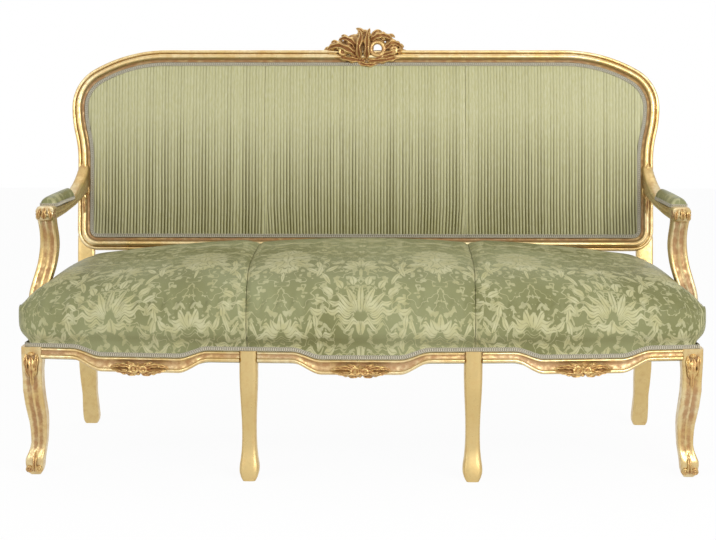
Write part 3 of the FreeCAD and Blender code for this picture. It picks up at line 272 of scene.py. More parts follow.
def shaderGroup(name, inputs, outputs):
    tree = bpy.data.node_groups.new(name, "ShaderNodeTree")
    for label, kind, value in inputs:
        socket = tree.interface.new_socket(label, in_out="INPUT", socket_type=kind)
        if value is not None:
            socket.default_value = value
    for label, kind in outputs:
        tree.interface.new_socket(label, in_out="OUTPUT", socket_type=kind)
    source = tree.nodes.new("NodeGroupInput")
    target = tree.nodes.new("NodeGroupOutput")
    return tree, source.outputs, target.inputs


def place(tree, group, **inputs):
    node = tree.nodes.new("ShaderNodeGroup")
    node.node_tree = group
    for key, value in inputs.items():
        if isinstance(value, bpy.types.NodeSocket):
            tree.links.new(value, node.inputs[key])
        else:
            node.inputs[key].default_value = (*value, 1.0) if isinstance(
                value, tuple,
            ) and len(value) == 3 and node.inputs[key].type == "RGBA" else value
    return node.outputs


def newMaterial(name, **sockets):
    material = bpy.data.materials.new(name)
    material.use_nodes = True
    tree = material.node_tree
    shader = tree.nodes["Principled BSDF"]
    for key, value in sockets.items():
        shader.inputs[key.replace("_", " ")].default_value = value
    return material, tree, shader


def bumpInto(tree, shader, height, distance, strength=1.0):
    bump = addNode(tree, "ShaderNodeBump", {"Height": height, "Distance": distance, "Strength": strength})
    tree.links.new(bump.outputs[0], shader.inputs["Normal"])
    return bump


gilding = {  # colours are linear
    "leaf": (0.65, 0.475, 0.20),
    "pale": (0.755, 0.64, 0.385),
    "rub": (0.50, 0.29, 0.10),
    # the dark red ground under the leaf, mixed into the hollows as bole and as painted shade
    "boleAndShade": (0.25, 0.098, 0.028),
}

goldGroup, goldIn, goldOut = shaderGroup(
    "Gilding",
    [(
        "Where", "NodeSocketVector", None,
    ), ("Recess", "NodeSocketFloat", 0.0), ("Copper", "NodeSocketFloat", 0.3),
     ("Pale", "NodeSocketFloat", 0.5)],
    [("Colour", "NodeSocketColor"), ("Roughness", "NodeSocketFloat"), ("Metal", "NodeSocketFloat"),
     ("Height", "NodeSocketFloat")],
)


def fillGold():
    tree = goldGroup
    where = goldIn["Where"]
    broad = noiseOf(tree, where, 9.0, 3.0, 0.55, 1.7)
    fine = noiseOf(tree, where, 70.0, 4.0, 0.6, 5.1)
    grain = noiseOf(tree, where, 420.0, 2.0, 0.5, 2.2)
    paleShare = calc(tree, "MULTIPLY", fade(tree, broad, 0.38, 0.66), goldIn["Pale"])
    colour = mixColour(tree, paleShare, gilding["leaf"], gilding["pale"])
    rubbed = fade(
        tree, calc(tree, "ADD", fine, calc(tree, "MULTIPLY", goldIn["Copper"], 0.22)), 0.55, 0.78, 0.0, 0.75,
    )
    rubbed = calc(
        tree, "MULTIPLY", rubbed, calc(tree, "ADD", calc(tree, "MULTIPLY", goldIn["Copper"], 0.75), 0.2),
    )
    colour = mixColour(tree, rubbed, colour, gilding["rub"])
    streak = calc(
        tree, "ADD", calc(tree, "MULTIPLY", calc(tree, "SUBTRACT", fine, 0.5), 0.9),
        calc(tree, "MULTIPLY", calc(tree, "SUBTRACT", broad, 0.5), 0.8),
    )
    # hollow: recesses plus noise streaks. Darkening the recesses with the bole colour is partly bole and toning,
    # partly painted shade; the streaks are tone.
    low = calc(tree, "ADD", calc(tree, "MULTIPLY", goldIn["Recess"], 0.9), streak)
    hollow = fade(tree, low, 0.42, 0.86)
    reach = calc(tree, "ADD", calc(tree, "MULTIPLY", goldIn["Copper"], 0.75), 0.25)
    colour = mixColour(tree, calc(tree, "MULTIPLY", hollow, reach, clamp=True), colour, gilding["boleAndShade"])
    tree.links.new(colour, goldOut["Colour"])
    dull = calc(tree, "MULTIPLY", hollow, 0.2)
    tree.links.new(calc(tree, "ADD", fade(tree, fine, 0.3, 0.7, 0.26, 0.42), dull), goldOut["Roughness"])
    tree.links.new(fade(tree, calc(tree, "ADD", hollow, rubbed), 0.0, 1.2, 0.92, 0.35), goldOut["Metal"])
    height = calc(tree, "ADD", calc(tree, "MULTIPLY", fine, 0.7), calc(tree, "MULTIPLY", grain, 0.3))
    tree.links.new(height, goldOut["Height"])


fillGold()


def goldMaterial(name, copper, pale):
    material, tree, shader = newMaterial(name, Specular_IOR_Level=0.5)
    where = addNode(tree, "ShaderNodeTexCoord").outputs["Object"]
    recess = addNode(tree, "ShaderNodeAttribute", attribute_name="recess").outputs["Fac"]
    made = place(tree, goldGroup, Where=where, Recess=recess, Copper=copper, Pale=pale)
    for output, socket in (("Colour", "Base Color"), ("Roughness", "Roughness"), ("Metal", "Metallic")):
        tree.links.new(made[output], shader.inputs[socket])
    bumpInto(tree, shader, made["Height"], 0.0006, 0.6)
    return material


paleGold = goldMaterial("Pale gold leaf", 0.3, 0.15)
railGold = goldMaterial("Rubbed gold leaf", 0.62, 1.0)
# copper 1 darkens the hollows fully with the bole colour: toning and painted shade
carvedGold = goldMaterial("Carved and toned gold", 1.0, 0.0)

weaveGroup, weaveIn, weaveOut = shaderGroup(
    "Woven threads",
    [
        ("Across", "NodeSocketFloat", 0.0), ("Along", "NodeSocketFloat", 0.0),
        ("Pitch", "NodeSocketFloat", 0.6),
    ],
    [("Height", "NodeSocketFloat"), ("Thread", "NodeSocketFloat")],
)


def fillWeave():
    tree = weaveGroup
    turns = [
        calc(tree, "MULTIPLY", calc(tree, "DIVIDE", weaveIn[axis], weaveIn["Pitch"]), 2 * math.pi)
        for axis in ("Across", "Along")
    ]
    warp = calc(tree, "SINE", turns[0])
    weft = calc(tree, "SINE", calc(tree, "ADD", turns[1], calc(tree, "MULTIPLY", turns[0], 0.5)))
    both = calc(tree, "ADD", calc(tree, "MULTIPLY", warp, 0.5), calc(tree, "MULTIPLY", weft, 0.5))
    tree.links.new(both, weaveOut["Height"])
    tree.links.new(fade(tree, both, -1.0, 1.0), weaveOut["Thread"])


fillWeave()


def clothMaterial(name, colour, dark, pitch, rough=0.75, **sockets):
    material, tree, shader = newMaterial(name, Roughness=rough, **sockets)
    where = addNode(tree, "ShaderNodeTexCoord").outputs["Object"]
    split = addNode(tree, "ShaderNodeSeparateXYZ", {0: where}).outputs
    along = calc(
        tree, "ADD", calc(tree, "MULTIPLY", split["Z"], 1000.0), calc(tree, "MULTIPLY", split["Y"], 1000.0),
    )
    threads = place(
        tree, weaveGroup, Across=calc(tree, "MULTIPLY", split["X"], 1000.0), Along=along, Pitch=pitch,
    )
    mottle = noiseOf(tree, where, 14.0, 4.0, 0.6, 3.3)
    base = mixColour(tree, fade(tree, mottle, 0.3, 0.7), colour, dark)
    tree.links.new(
        mixColour(tree, calc(tree, "MULTIPLY", threads["Thread"], 0.35), base, dark),
        shader.inputs["Base Color"],
    )
    bumpInto(tree, shader, threads["Height"], 0.00025)
    return material


plainCloth = clothMaterial("Plain sateen", (0.34, 0.37, 0.24), (0.27, 0.29, 0.18), 0.9, Sheen_Weight=0.2)
blackCloth = clothMaterial("Dust cloth", (0.035, 0.033, 0.03), (0.02, 0.02, 0.02), 1.4, 0.9)


def braidMaterial():
    material, tree, shader = newMaterial("Braid", Roughness=0.6, Sheen_Weight=0.3)
    recess = addNode(tree, "ShaderNodeAttribute", attribute_name="recess").outputs["Fac"]
    where = addNode(tree, "ShaderNodeTexCoord").outputs["Object"]
    fibre = noiseOf(tree, where, 900.0, 2.0, 0.6, 2.0)
    # recess 0.85 on the ribbon under the loops mixes it towards dark brown: painted shade under the cord
    base = mixColour(tree, recess, (0.56, 0.51, 0.40), (0.17, 0.16, 0.105))
    tree.links.new(
        mixColour(tree, fade(tree, fibre, 0.4, 0.7, 0.0, 0.35), base, (0.36, 0.33, 0.25)),
        shader.inputs["Base Color"],
    )
    bumpInto(tree, shader, fibre, 0.0003)
    return material


braidCloth = braidMaterial()


def beechMaterial():
    material, tree, shader = newMaterial("Bare beech", Roughness=0.62)
    where = addNode(tree, "ShaderNodeTexCoord").outputs["Object"]
    stretch = addNode(tree, "ShaderNodeMapping", {"Vector": where, "Scale": (0.06, 1.0, 1.0)}).outputs[0]
    rings = noiseOf(tree, stretch, 160.0, 3.0, 0.6, 4.0)
    flecks = noiseOf(tree, stretch, 900.0, 1.0, 0.5, 8.0)
    base = mixColour(tree, fade(tree, rings, 0.35, 0.7), (0.56, 0.38, 0.20), (0.42, 0.26, 0.125))
    tree.links.new(
        mixColour(tree, fade(tree, flecks, 0.6, 0.75, 0.0, 0.5), base, (0.27, 0.15, 0.07)),
        shader.inputs["Base Color"],
    )
    bumpInto(tree, shader, rings, 0.0004, 0.4)
    return material


beech = beechMaterial()

# the dark olive is painted shade for the pleat valleys
silk = {"ground": (0.42, 0.40, 0.19), "valleyShade": (0.10, 0.088, 0.022), "light": (0.52, 0.505, 0.31)}


def silkMaterial():
    material, tree, shader = newMaterial("Pleated silk", Specular_IOR_Level=0.35)
    where = addNode(tree, "ShaderNodeTexCoord").outputs["Object"]
    recess = addNode(tree, "ShaderNodeAttribute", attribute_name="recess").outputs["Fac"]
    slub = addNode(tree, "ShaderNodeMapping", {"Vector": where, "Scale": (60.0, 5.0, 5.0)}).outputs[0]
    streak = noiseOf(tree, slub, 12.0, 3.0, 0.6, 6.0)
    base = mixColour(tree, fade(tree, streak, 0.35, 0.68), silk["ground"], silk["light"])
    # pleat valleys mixed towards dark olive by their depth: painted shade
    base = mixColour(tree, fade(tree, recess, 0.16, 0.86), base, silk["valleyShade"])
    tree.links.new(base, shader.inputs["Base Color"])
    tree.links.new(fade(tree, streak, 0.3, 0.7, 0.36, 0.5), shader.inputs["Roughness"])
    bumpInto(tree, shader, streak, 0.0003, 0.5)
    return material


pleatedSilk = silkMaterial()
print("materials: gilding, cloths, beech and silk")

# Back frame: one rich moulding swept round the outline

backFrame = {
    "half": 800.0,
    "shoulder": 818.0,
    "high": 559.0,
    "shoulderAt": 399.0,
    "waistAt": 249.0,
    "foot": 56.0,
    "crownWide": 265.0,
    "crownTurn": math.radians(30),
    "step": 7.0,
}


def frameOutline(step):  # points (x, v) of the outer edge, and their inward normals
    b = backFrame
    s, c = math.sin(b["crownTurn"]), math.cos(b["crownTurn"])
    wide, high = b["crownWide"], b["high"] - b["shoulderAt"]
    whole = s * c - (1 - s) * (1 - c)
    flat, tight = (wide * c - high * (1 - s)) / whole, (high * s - wide * (1 - c)) / whole
    run, rise = (b["shoulderAt"] - b["waistAt"]) / 2, (b["shoulder"] - b["half"]) / 2
    waist, bend = (run * run + rise * rise) / (2 * rise), 2 * math.atan2(rise, run)
    shoulder = np.array((b["shoulder"] - tight, b["shoulderAt"]))
    turn = math.pi / 2 - b["crownTurn"]
    far = shoulder + (tight - flat) * np.array((math.cos(turn), math.sin(turn)))
    foot = b["half"] - b["foot"]
    runs = [("line", (0, 0), (foot, 0)), ("arc", (foot, b["foot"]), b["foot"], -math.pi / 2, 0),
            ("line", (b["half"], b["foot"]), (b["half"], b["waistAt"])),
            ("arc", (b["half"] + waist, b["waistAt"]), -waist, 0, -bend),
            ("arc", (b["shoulder"] - waist, b["shoulderAt"]), waist, -bend, 0),
            ("arc", shoulder, tight, 0, turn), ("arc", far, flat, turn, math.pi / 2),
            ("line", (far[0], b["high"]), (0, b["high"]))]
    points, inward = [], []
    for kind, *values in runs:
        if kind == "line":
            a, e = np.array(values[0], float), np.array(values[1], float)
            n = max(2, int(np.linalg.norm(e - a) / step))
            along = a + (e - a) * (np.arange(n) / n)[:, None]
            d = (e - a) / np.linalg.norm(e - a)
            points.append(along)
            inward.append(np.tile((-d[1], d[0]), (n, 1)))
        else:
            centre, radius, start, end = values
            n = max(5, int(abs(radius * (end - start)) / step))
            angle = start + (end - start) * np.arange(n) / n
            way = np.stack([np.cos(angle), np.sin(angle)], -1)
            points.append(np.asarray(centre) + radius * way)
            inward.append(-way * np.sign(radius) if radius > 0 else -way)
    points, inward = np.concatenate(points), np.concatenate(inward)
    inward[0] = (0, 1)
    return (
        np.concatenate([points, points[:0:-1] * (-1, 1)]), np.concatenate([inward, inward[:0:-1] * (-1, 1)]),
    )


edgePoints, edgeInward = frameOutline(backFrame["step"])


def arcPoints(ca, cw, radius, start, end, count):
    angle = np.radians(np.linspace(start, end, count))
    return [(ca + radius * math.cos(t), cw + radius * math.sin(t)) for t in angle]


def mouldingProfile():  # (inwards, height, recess) round the section
    line = [(1.5, 0, 0.1), (0, 1.5, 0.1), (0, 22, 0.2)]
    line += [(a, w, 0.05) for a, w in arcPoints(4.6, 27.6, 4.8, 180, 20, 9)]
    line += [(9.6, 26.2, 0.75), (10.8, 25.2, 0.95), (11.6, 26.6, 0.7)]
    line += [(a, w, 0.0) for a, w in arcPoints(18.2, 30.4, 7.4, 160, 20, 11)]
    line += [(a, w, 0.55 + 0.4 * (a > 26.5)) for a, w in arcPoints(32.8, 35.4, 8.0, 195, 262, 8)]
    line += [(33.4, 27.0, 0.8), (34.0, 24.0, 0.9), (50, 24, 0.6), (50, 0, 0.3)]
    return line


def sweptFrame():
    profile = np.array(mouldingProfile())
    at = edgePoints[:, None] + edgeInward[:, None] * profile[None, :, :1]
    rings = leaned(at[..., 0], at[..., 1], np.broadcast_to(profile[None, :, 1], at.shape[:2]))
    points, faces = loft(rings, roundPath=True)
    return makeMesh("back_frame", points, faces, np.tile(profile[:, 2], len(edgePoints)), sharp=50)


settle(addObject("back_frame", sweptFrame()), railGold, ("back_top_rail", "back_bottom_rail"))
print("back frame moulded")

# Legs

# A four-sided section whose chosen faces have a sunk panel with a raised middle
def squareRing(x, y, halfX, halfY, round=6.0, flute=0.0, faces=(0, 1), count=13):
    t = np.linspace(-0.885, 0.885, count)
    side = (1 - np.abs(t) ** round) ** (1 / round)
    ring, low = [], []
    for n, (along, out) in enumerate(
        (((1, 0), (0, -1)), ((0, 1), (1, 0)), ((-1, 0), (0, 1)), ((0, -1), (-1, 0))),
    ):
        sunk = np.zeros(count)
        if n in faces and flute:
            sunk = smooth(0.68 - np.abs(t), 0, 0.16) * (1 - 0.75 * smooth(0.17 - np.abs(t), 0, 0.12))
        reach = side - sunk * flute / min(halfX, halfY)
        ring.append(np.outer(t, along) + np.outer(reach, out))
        low.append(0.12 + 0.8 * sunk)
    ring = np.concatenate(ring) * (halfX, halfY) + (x, y)
    return ring, np.concatenate(low)


def legMesh(stations, heights, round, flute, faces):
    rings, values = [], []
    for z in heights:
        x, y, halfX, halfY, depth = stations(z)
        ring, low = squareRing(x, y, halfX, halfY, round, flute * depth, faces)
        rings.append(np.column_stack([ring, np.full(len(ring), z)]))
        values.append(0.12 + (low - 0.12) * depth)
    return world(np.array(rings)), np.concatenate(values)


cornerLeg = {
    "heights": [
        0, 3, 8, 18, 30, 41, 52, 66, 80, 95, 114, 132, 150, 169, 181, 200, 217, 241, 265, 292, 314, 324,
    ],
    "outer": [
        826, 829.5, 833, 837, 838.5, 838, 833, 827.5, 825, 825, 826, 828, 831.5, 835, 837, 839, 841, 841,
        842, 843, 843, 843,
    ],
    "inner": [
        802, 800, 797, 794, 793, 792, 790, 788, 786, 785, 784, 783.5, 784, 786, 787.5, 789.5, 791, 792, 792,
        789.5, 789, 789,
    ],
    "flute": 3.2,
    "at": 816.0,
    "widest": 843.0,
}
middleLeg = {
    "heights": [0, 3, 10, 20, 28, 40, 55, 75, 100, 125, 149, 175, 200, 225, 245, 262, 290, 322, 324],
    "half": [
        15.5, 17.5, 21, 24, 24.6, 23.6, 21.2, 19.2, 18, 17.8, 18.2, 19.2, 20.4, 21.6, 22.3, 22.6, 22.6,
        22.6, 22.6,
    ],
    "at": 275.0,
}
rearLeg = {
    "heights": [0, 3, 10, 20, 45, 90, 130, 165, 210, 262, 300, 346],
    "halfX": [17, 19, 21.5, 22.5, 22, 20.2, 22.5, 23.5, 23.2, 23, 23, 23],
    "halfY": [19, 21, 22.5, 22.5, 21.5, 20, 19.6, 19.5, 17.5, 13.7, 13.7, 13.7],
    "back": [66, 66, 66, 64.5, 54, 39.6, 27, 17, 7.5, 0, 0, 0],
    "at": 777.0,
    "deep": 13.67,
}


def cornerStation(z):
    outer = np.interp(z, cornerLeg["heights"], cornerLeg["outer"])
    inner = np.interp(z, cornerLeg["heights"], cornerLeg["inner"])
    half = (outer - inner) / 2
    front = float(bowY(cornerLeg["at"], 3)) + (cornerLeg["widest"] - outer) * 0.75
    depth = float(smooth(z, 40, 75) * (1 - smooth(z, 300, 322)))
    return (outer + inner) / 2, front + half * 0.98, half, half * 0.98, depth


def middleStation(z):
    half = np.interp(z, middleLeg["heights"], middleLeg["half"])
    back = 12 * smooth(z, 8, 90) * (1 - smooth(z, 110, 235))
    front = float(bowY(middleLeg["at"], 3)) + back
    return middleLeg["at"], front + half * 1.02, half, half * 1.02, 0.0


def rearStation(z):
    values = [np.interp(z, rearLeg["heights"], rearLeg[key]) for key in ("halfX", "halfY", "back")]
    return rearLeg["at"], layout["railBack"] - rearLeg["deep"] + values[2], values[0], values[1], 0.0


def legPair(name, station, heights, round, flute, faces, material, nodes, top=()):
    rings, values = legMesh(station, heights, round, flute, faces)
    if len(top):
        rings = np.concatenate([rings, top])
        values = np.concatenate([values, np.full(len(top) * top[0].shape[0], 0.15)])
    for side, way in (("right", 1), ("left", -1)):
        points, shell = loft(rings * (way, 1, 1))
        mesh = makeMesh(f"{name}_{side}", points, shell, values, sharp=55)
        settle(addObject(f"{name}_{side}", mesh), material, [f"{node}_{side}" for node in nodes])


fineHeights = np.unique(np.round(np.concatenate([np.arange(0, 20, 2), np.arange(20, 325, 5), [324]]), 1))
legPair("corner_leg", cornerStation, fineHeights, 7.0, cornerLeg["flute"], (0, 1), railGold, ["front_leg"])
legPair("plain_leg", middleStation, fineHeights, 4.5, 0.0, (), paleGold, ["middle_leg"])
postTop = []
for v in (0.0, 12.0, 40.0):
    ring, _ = squareRing(rearLeg["at"], 13.5, 23, 13.5, 9.0)
    postTop.append(leaned(ring[:, 0], v, 27.0 - ring[:, 1]))
legPair(
    "rear_leg", rearStation, np.arange(0, 347, 8.0).clip(0, 346), 6.0, 0.0, (), paleGold, ["rear_post"],
    np.array(postTop),
)
print("legs shaped")

# Seat rails: a serpentine band between two beads

rail = {
    "drop": 29.0,
    "topDrop": 19.0,
    "outer": 170.0,
    "inner": 95.0,
    "thick": 32.0,
    "centre": 543.75,
}


def sweepDrop(distance, drop):
    return drop * (1 - smooth(np.abs(distance), rail["inner"], rail["outer"]))


def railProfile(high):  # (out, height, recess) from the top down the face to the back of the foot
    base = [
        (-8.2, high, 0.8), (-1.5, high, 0.5), (0.4, high - 1.2, 0.1), (1.4, high - 3.2, 0.05),
        (0.4, high - 5.2, 0.2),
    ]
    base += [
        (-1.8, high - 6.4, 0.85), (-2.4, (high + 10) / 2 + 2, 1.0), (-1.9, (high + 10) / 2 - 2, 0.85),
        (-0.6, 11.2, 0.75),
    ]
    base += [(a, w, 0.05) for a, w in arcPoints(0.2, 5.4, 4.6, 80, -70, 8)]
    return base + [(0, 0.2, 0.3), (-6, 0, 0.4), (-rail["thick"], 0, 0.5), (-rail["thick"], high, 0.5)]


def railRings(places, heading, distance, halfDrop=1.0):  # heading points out of the face
    rings, values = [], []
    for (x, y), (nx, ny), far in zip(places, heading, distance):
        low = layout["showBottom"] - sweepDrop(far, rail["drop"] * halfDrop)
        high = layout["showTop"] - sweepDrop(far, rail["topDrop"] * halfDrop)
        profile = np.array(railProfile(high - low))
        rings.append(np.column_stack([x + nx * profile[:, 0], y + ny * profile[:, 0], low + profile[:, 1]]))
        values.append(profile[:, 2])
    return world(np.array(rings)), np.concatenate(values)


def frontRail(name, x0, x1, nodes):
    x = np.linspace(x0, x1, int(abs(x1 - x0) / 5))
    y = bowY(x)
    out = unit(np.column_stack([x, y - layout["bowCentre"]]))
    middle = 0 if x0 < 0 < x1 else rail["centre"] * np.sign(x1)
    rings, values = railRings(np.column_stack([x, y]), out, x - middle)
    points, shell = loft(rings)
    settle(addObject(name, makeMesh(name, points, shell, values, sharp=60)), railGold, nodes)


frontRail("rail_centre", -253.0, 253.0, ["front_rail_centre"])
frontRail("rail_right", 297.0, 791.0, ["front_rail_right"])
frontRail("rail_left", -791.0, -297.0, ["front_rail_left"])


def sideRail(side, way):
    y = np.linspace(24.0, 549.5, 105)
    x = sideX(y)
    slant = math.atan(layout["sideSlant"])
    out = np.tile((math.cos(slant), math.sin(slant)), (len(y), 1))
    rings, values = railRings(np.column_stack([x, y]), out, y - 287.0, 0.5)
    points, shell = loft(rings * (way, 1, 1))
    mesh = makeMesh(f"rail_side_{side}", points, shell, values, sharp=60)
    settle(addObject(f"rail_side_{side}", mesh), railGold, [f"side_rail_{side}"])


sideRail("right", 1)
sideRail("left", -1)
print("seat rails shaped")

# Arms and their supports

armForm = {
    "front": 150.0,
    "rear": 602.0,
    "outRear": 799.0,
    "spread": 37.0,
    "wideFront": 50.0,
    "wideRear": 32.0,
    "knots": [  # y, height and half depth along the arm, from the stile forward
        (612, 692, 46), (598, 690, 40), (575, 682, 28), (545, 670, 20), (505, 657, 16), (460, 647, 13.5),
        (400, 640, 12.5), (330, 636, 14), (260, 635.5, 16), (205, 637, 18), (185, 637.5, 19.2),
        (168, 637, 19.6),
        (157, 637, 16), (151.5, 637, 9),
    ],
}


def armOuter(y):
    share = np.clip((armForm["rear"] - y) / (armForm["rear"] - armForm["front"]), 0, 1.1)
    return armForm["outRear"] + armForm["spread"] * (1 - (1 - share) ** 2)


def armWide(y):
    share = np.clip((armForm["rear"] - y) / (armForm["rear"] - armForm["front"]), 0, 1.1)
    return armForm["wideRear"] + (armForm["wideFront"] - armForm["wideRear"]) * share


def armMesh(way):  # the arm, from its seat on the stile forward and over the knuckle
    path = curveThrough(armForm["knots"], 90)
    rings, values = [], []
    for y, z, half in path:
        wide = armWide(y) / 2 * (1.0 if y > 170 else 0.97)
        ring, low = squareRing(
            armOuter(y) - armWide(y) / 2, 0, wide, half, 4.5, 1.6 if y > 200 else 0.8, (1, 3), 11,
        )
        lift = -ring[:, 1]
        rings.append(np.column_stack([ring[:, 0], np.full(len(ring), y), z + lift]))
        values.append(low * (0.5 if y > 190 else 1))
    points, shell = loft(world(np.array(rings)) * (way, 1, 1))
    return points, shell, np.concatenate(values)


supportForm = {  # height, outer and inner x, front and rear y
    "z": [338, 360, 390, 411, 432, 462, 487, 511, 551, 580, 601, 622, 634],
    "outer": [848, 851, 855, 857, 858, 851, 843.5, 837, 831.5, 830.5, 831, 834, 835],
    "inner": [808, 809, 811, 812, 809, 801, 793, 787, 782, 783, 786, 787, 786],
    "front": [116, 119, 128, 137, 147, 160, 169, 175, 179, 175, 169, 161, 156],
    "back": [176, 178, 183, 188, 194, 203, 209, 214, 219, 216, 212, 207, 204],
}


def supportMesh(way):
    rings, values = [], []
    for z in np.linspace(326, 634, 70):
        outer, inner, front, back = (
            np.interp(z, supportForm["z"], supportForm[key]) for key in ("outer", "inner", "front", "back")
        )
        halfX, halfY = (outer - inner) / 2, (back - front) / 2
        ring, low = squareRing((outer + inner) / 2, (front + back) / 2, halfX, halfY, 4.5, 4.0, (0, 1, 3), 15)
        rings.append(np.column_stack([ring, np.full(len(ring), z)]))
        values.append(low)
    rings = np.array(rings)
    edges = np.array([(n, n + 1) for n in range(len(rings) - 1)])
    rings = blurred(rings.reshape(len(rings), -1), edges, 14).reshape(rings.shape)
    points, shell = loft(world(rings) * (way, 1, 1))
    return points, shell, np.concatenate(values)


for side, way in (("right", 1), ("left", -1)):
    points, shell, values = armMesh(way)
    settle(
        addObject(f"arm_rail_{side}", makeMesh(f"arm_rail_{side}", points, shell, values, sharp=60)),
        railGold, [f"arm_{side}"],
    )
    points, shell, values = supportMesh(way)
    settle(
        addObject(f"arm_post_{side}", makeMesh(f"arm_post_{side}", points, shell, values, sharp=60)),
        railGold, [f"arm_support_{side}"],
    )
print("arms shaped")

# Carving: drawn flat as (across, up, proud), then laid on the wood and grown together


def blade(knots, wide, thick, lobes=0, count=34):  # an acanthus leaf with a sunk vein
    line = curveThrough(knots, count)
    along = unit(np.gradient(line, axis=0))
    over = unit(np.cross((0.0, 0.0, 1.0), along))
    up = np.cross(along, over)
    t = np.linspace(0, 1, count)
    half = wide * (
        0.16 + 0.84 * np.sin(np.pi * np.clip(t, 0, 1) ** 0.62) ** 0.75
    ) * (1 - 0.9 * smooth(t, 0.86, 1.0))
    if lobes:
        half = half * (1 - 0.36 * np.abs(np.cos(np.pi * lobes * t)) ** 1.5)
    shape = np.array([
        (-1, 0), (-0.86, 0.55), (-0.48, 1.0), (-0.14, 0.34), (0, 0.1), (0.14, 0.34), (0.48, 1.0),
        (0.86, 0.55), (1, 0), (0.7, -0.7), (-0.7, -0.7),
    ])
    tall = thick * (0.35 + 0.65 * np.sin(np.pi * t**0.7))
    rings = line[:, None] + over[:, None] * (
        shape[:, 0] * half[:, None]
    )[..., None] + up[:, None] * (shape[:, 1] * tall[:, None])[..., None]
    return loft(rings)


def ringOf(x, z, proud, radius, tube, count=30):
    a = np.linspace(0, 2 * np.pi, count, endpoint=False)
    b = np.linspace(0, 2 * np.pi, 12, endpoint=False)
    reach = radius + tube * np.cos(b)[None, :]
    rise = np.tile(proud + tube * np.sin(b), (count, 1))
    rings = np.stack([x + np.cos(a)[:, None] * reach, z + np.sin(a)[:, None] * reach, rise], -1)
    return loft(rings, roundPath=True)


def mound(x, z, proud, wide, high, deep):
    rows = np.linspace(0.08, np.pi - 0.08, 11)
    a = np.linspace(0, 2 * np.pi, 22, endpoint=False)
    px, pz = wide * np.sin(rows)[:, None] * np.cos(a), high * np.sin(rows)[:, None] * np.sin(a)
    rings = np.stack([x + px, z + pz, proud + deep * np.cos(rows)[:, None] + 0 * px], -1)
    return loft(rings)


def laid(parts, way):
    points, faces = together(parts)
    return [(way(points[:, 0], points[:, 1], points[:, 2]), faces)]


def onCrest(x, z, w):
    return leaned(x, (z - layout["frameFoot"] - w * math.sin(layout["rake"])) / math.cos(layout["rake"]), w)


def onFace(piece, start=0.7):  # flat drawings are pressed on to the front of a piece
    tree = BVHTree.FromObject(piece, bpy.context.evaluated_depsgraph_get())
    heading = Vector((0, 1, 0))

    def way(x, z, proud):
        points = []
        for a, b, c in zip(x, z, proud):
            origin = Vector((a / 1000, 0, b / 1000)) - heading * start
            hit = tree.ray_cast(origin, heading)[0]
            if hit is None:
                face = (layout["bowCentre"] - layout["bowRadius"] + yShift) / 1000
                near = tree.find_nearest(Vector((a / 1000, face, b / 1000)))[0]
                hit = Vector((a / 1000, near.y + 0.004, b / 1000))
            points.append(hit - heading * (c / 1000))
        return np.array([tuple(p) for p in points])

    return way


def carving(name, parts, voxel, nodes=(), strength=1.1):
    piece = fused(name, parts, voxel, 1)
    markHollows(piece.data, strength, 5)
    return settle(piece, carvedGold, nodes)


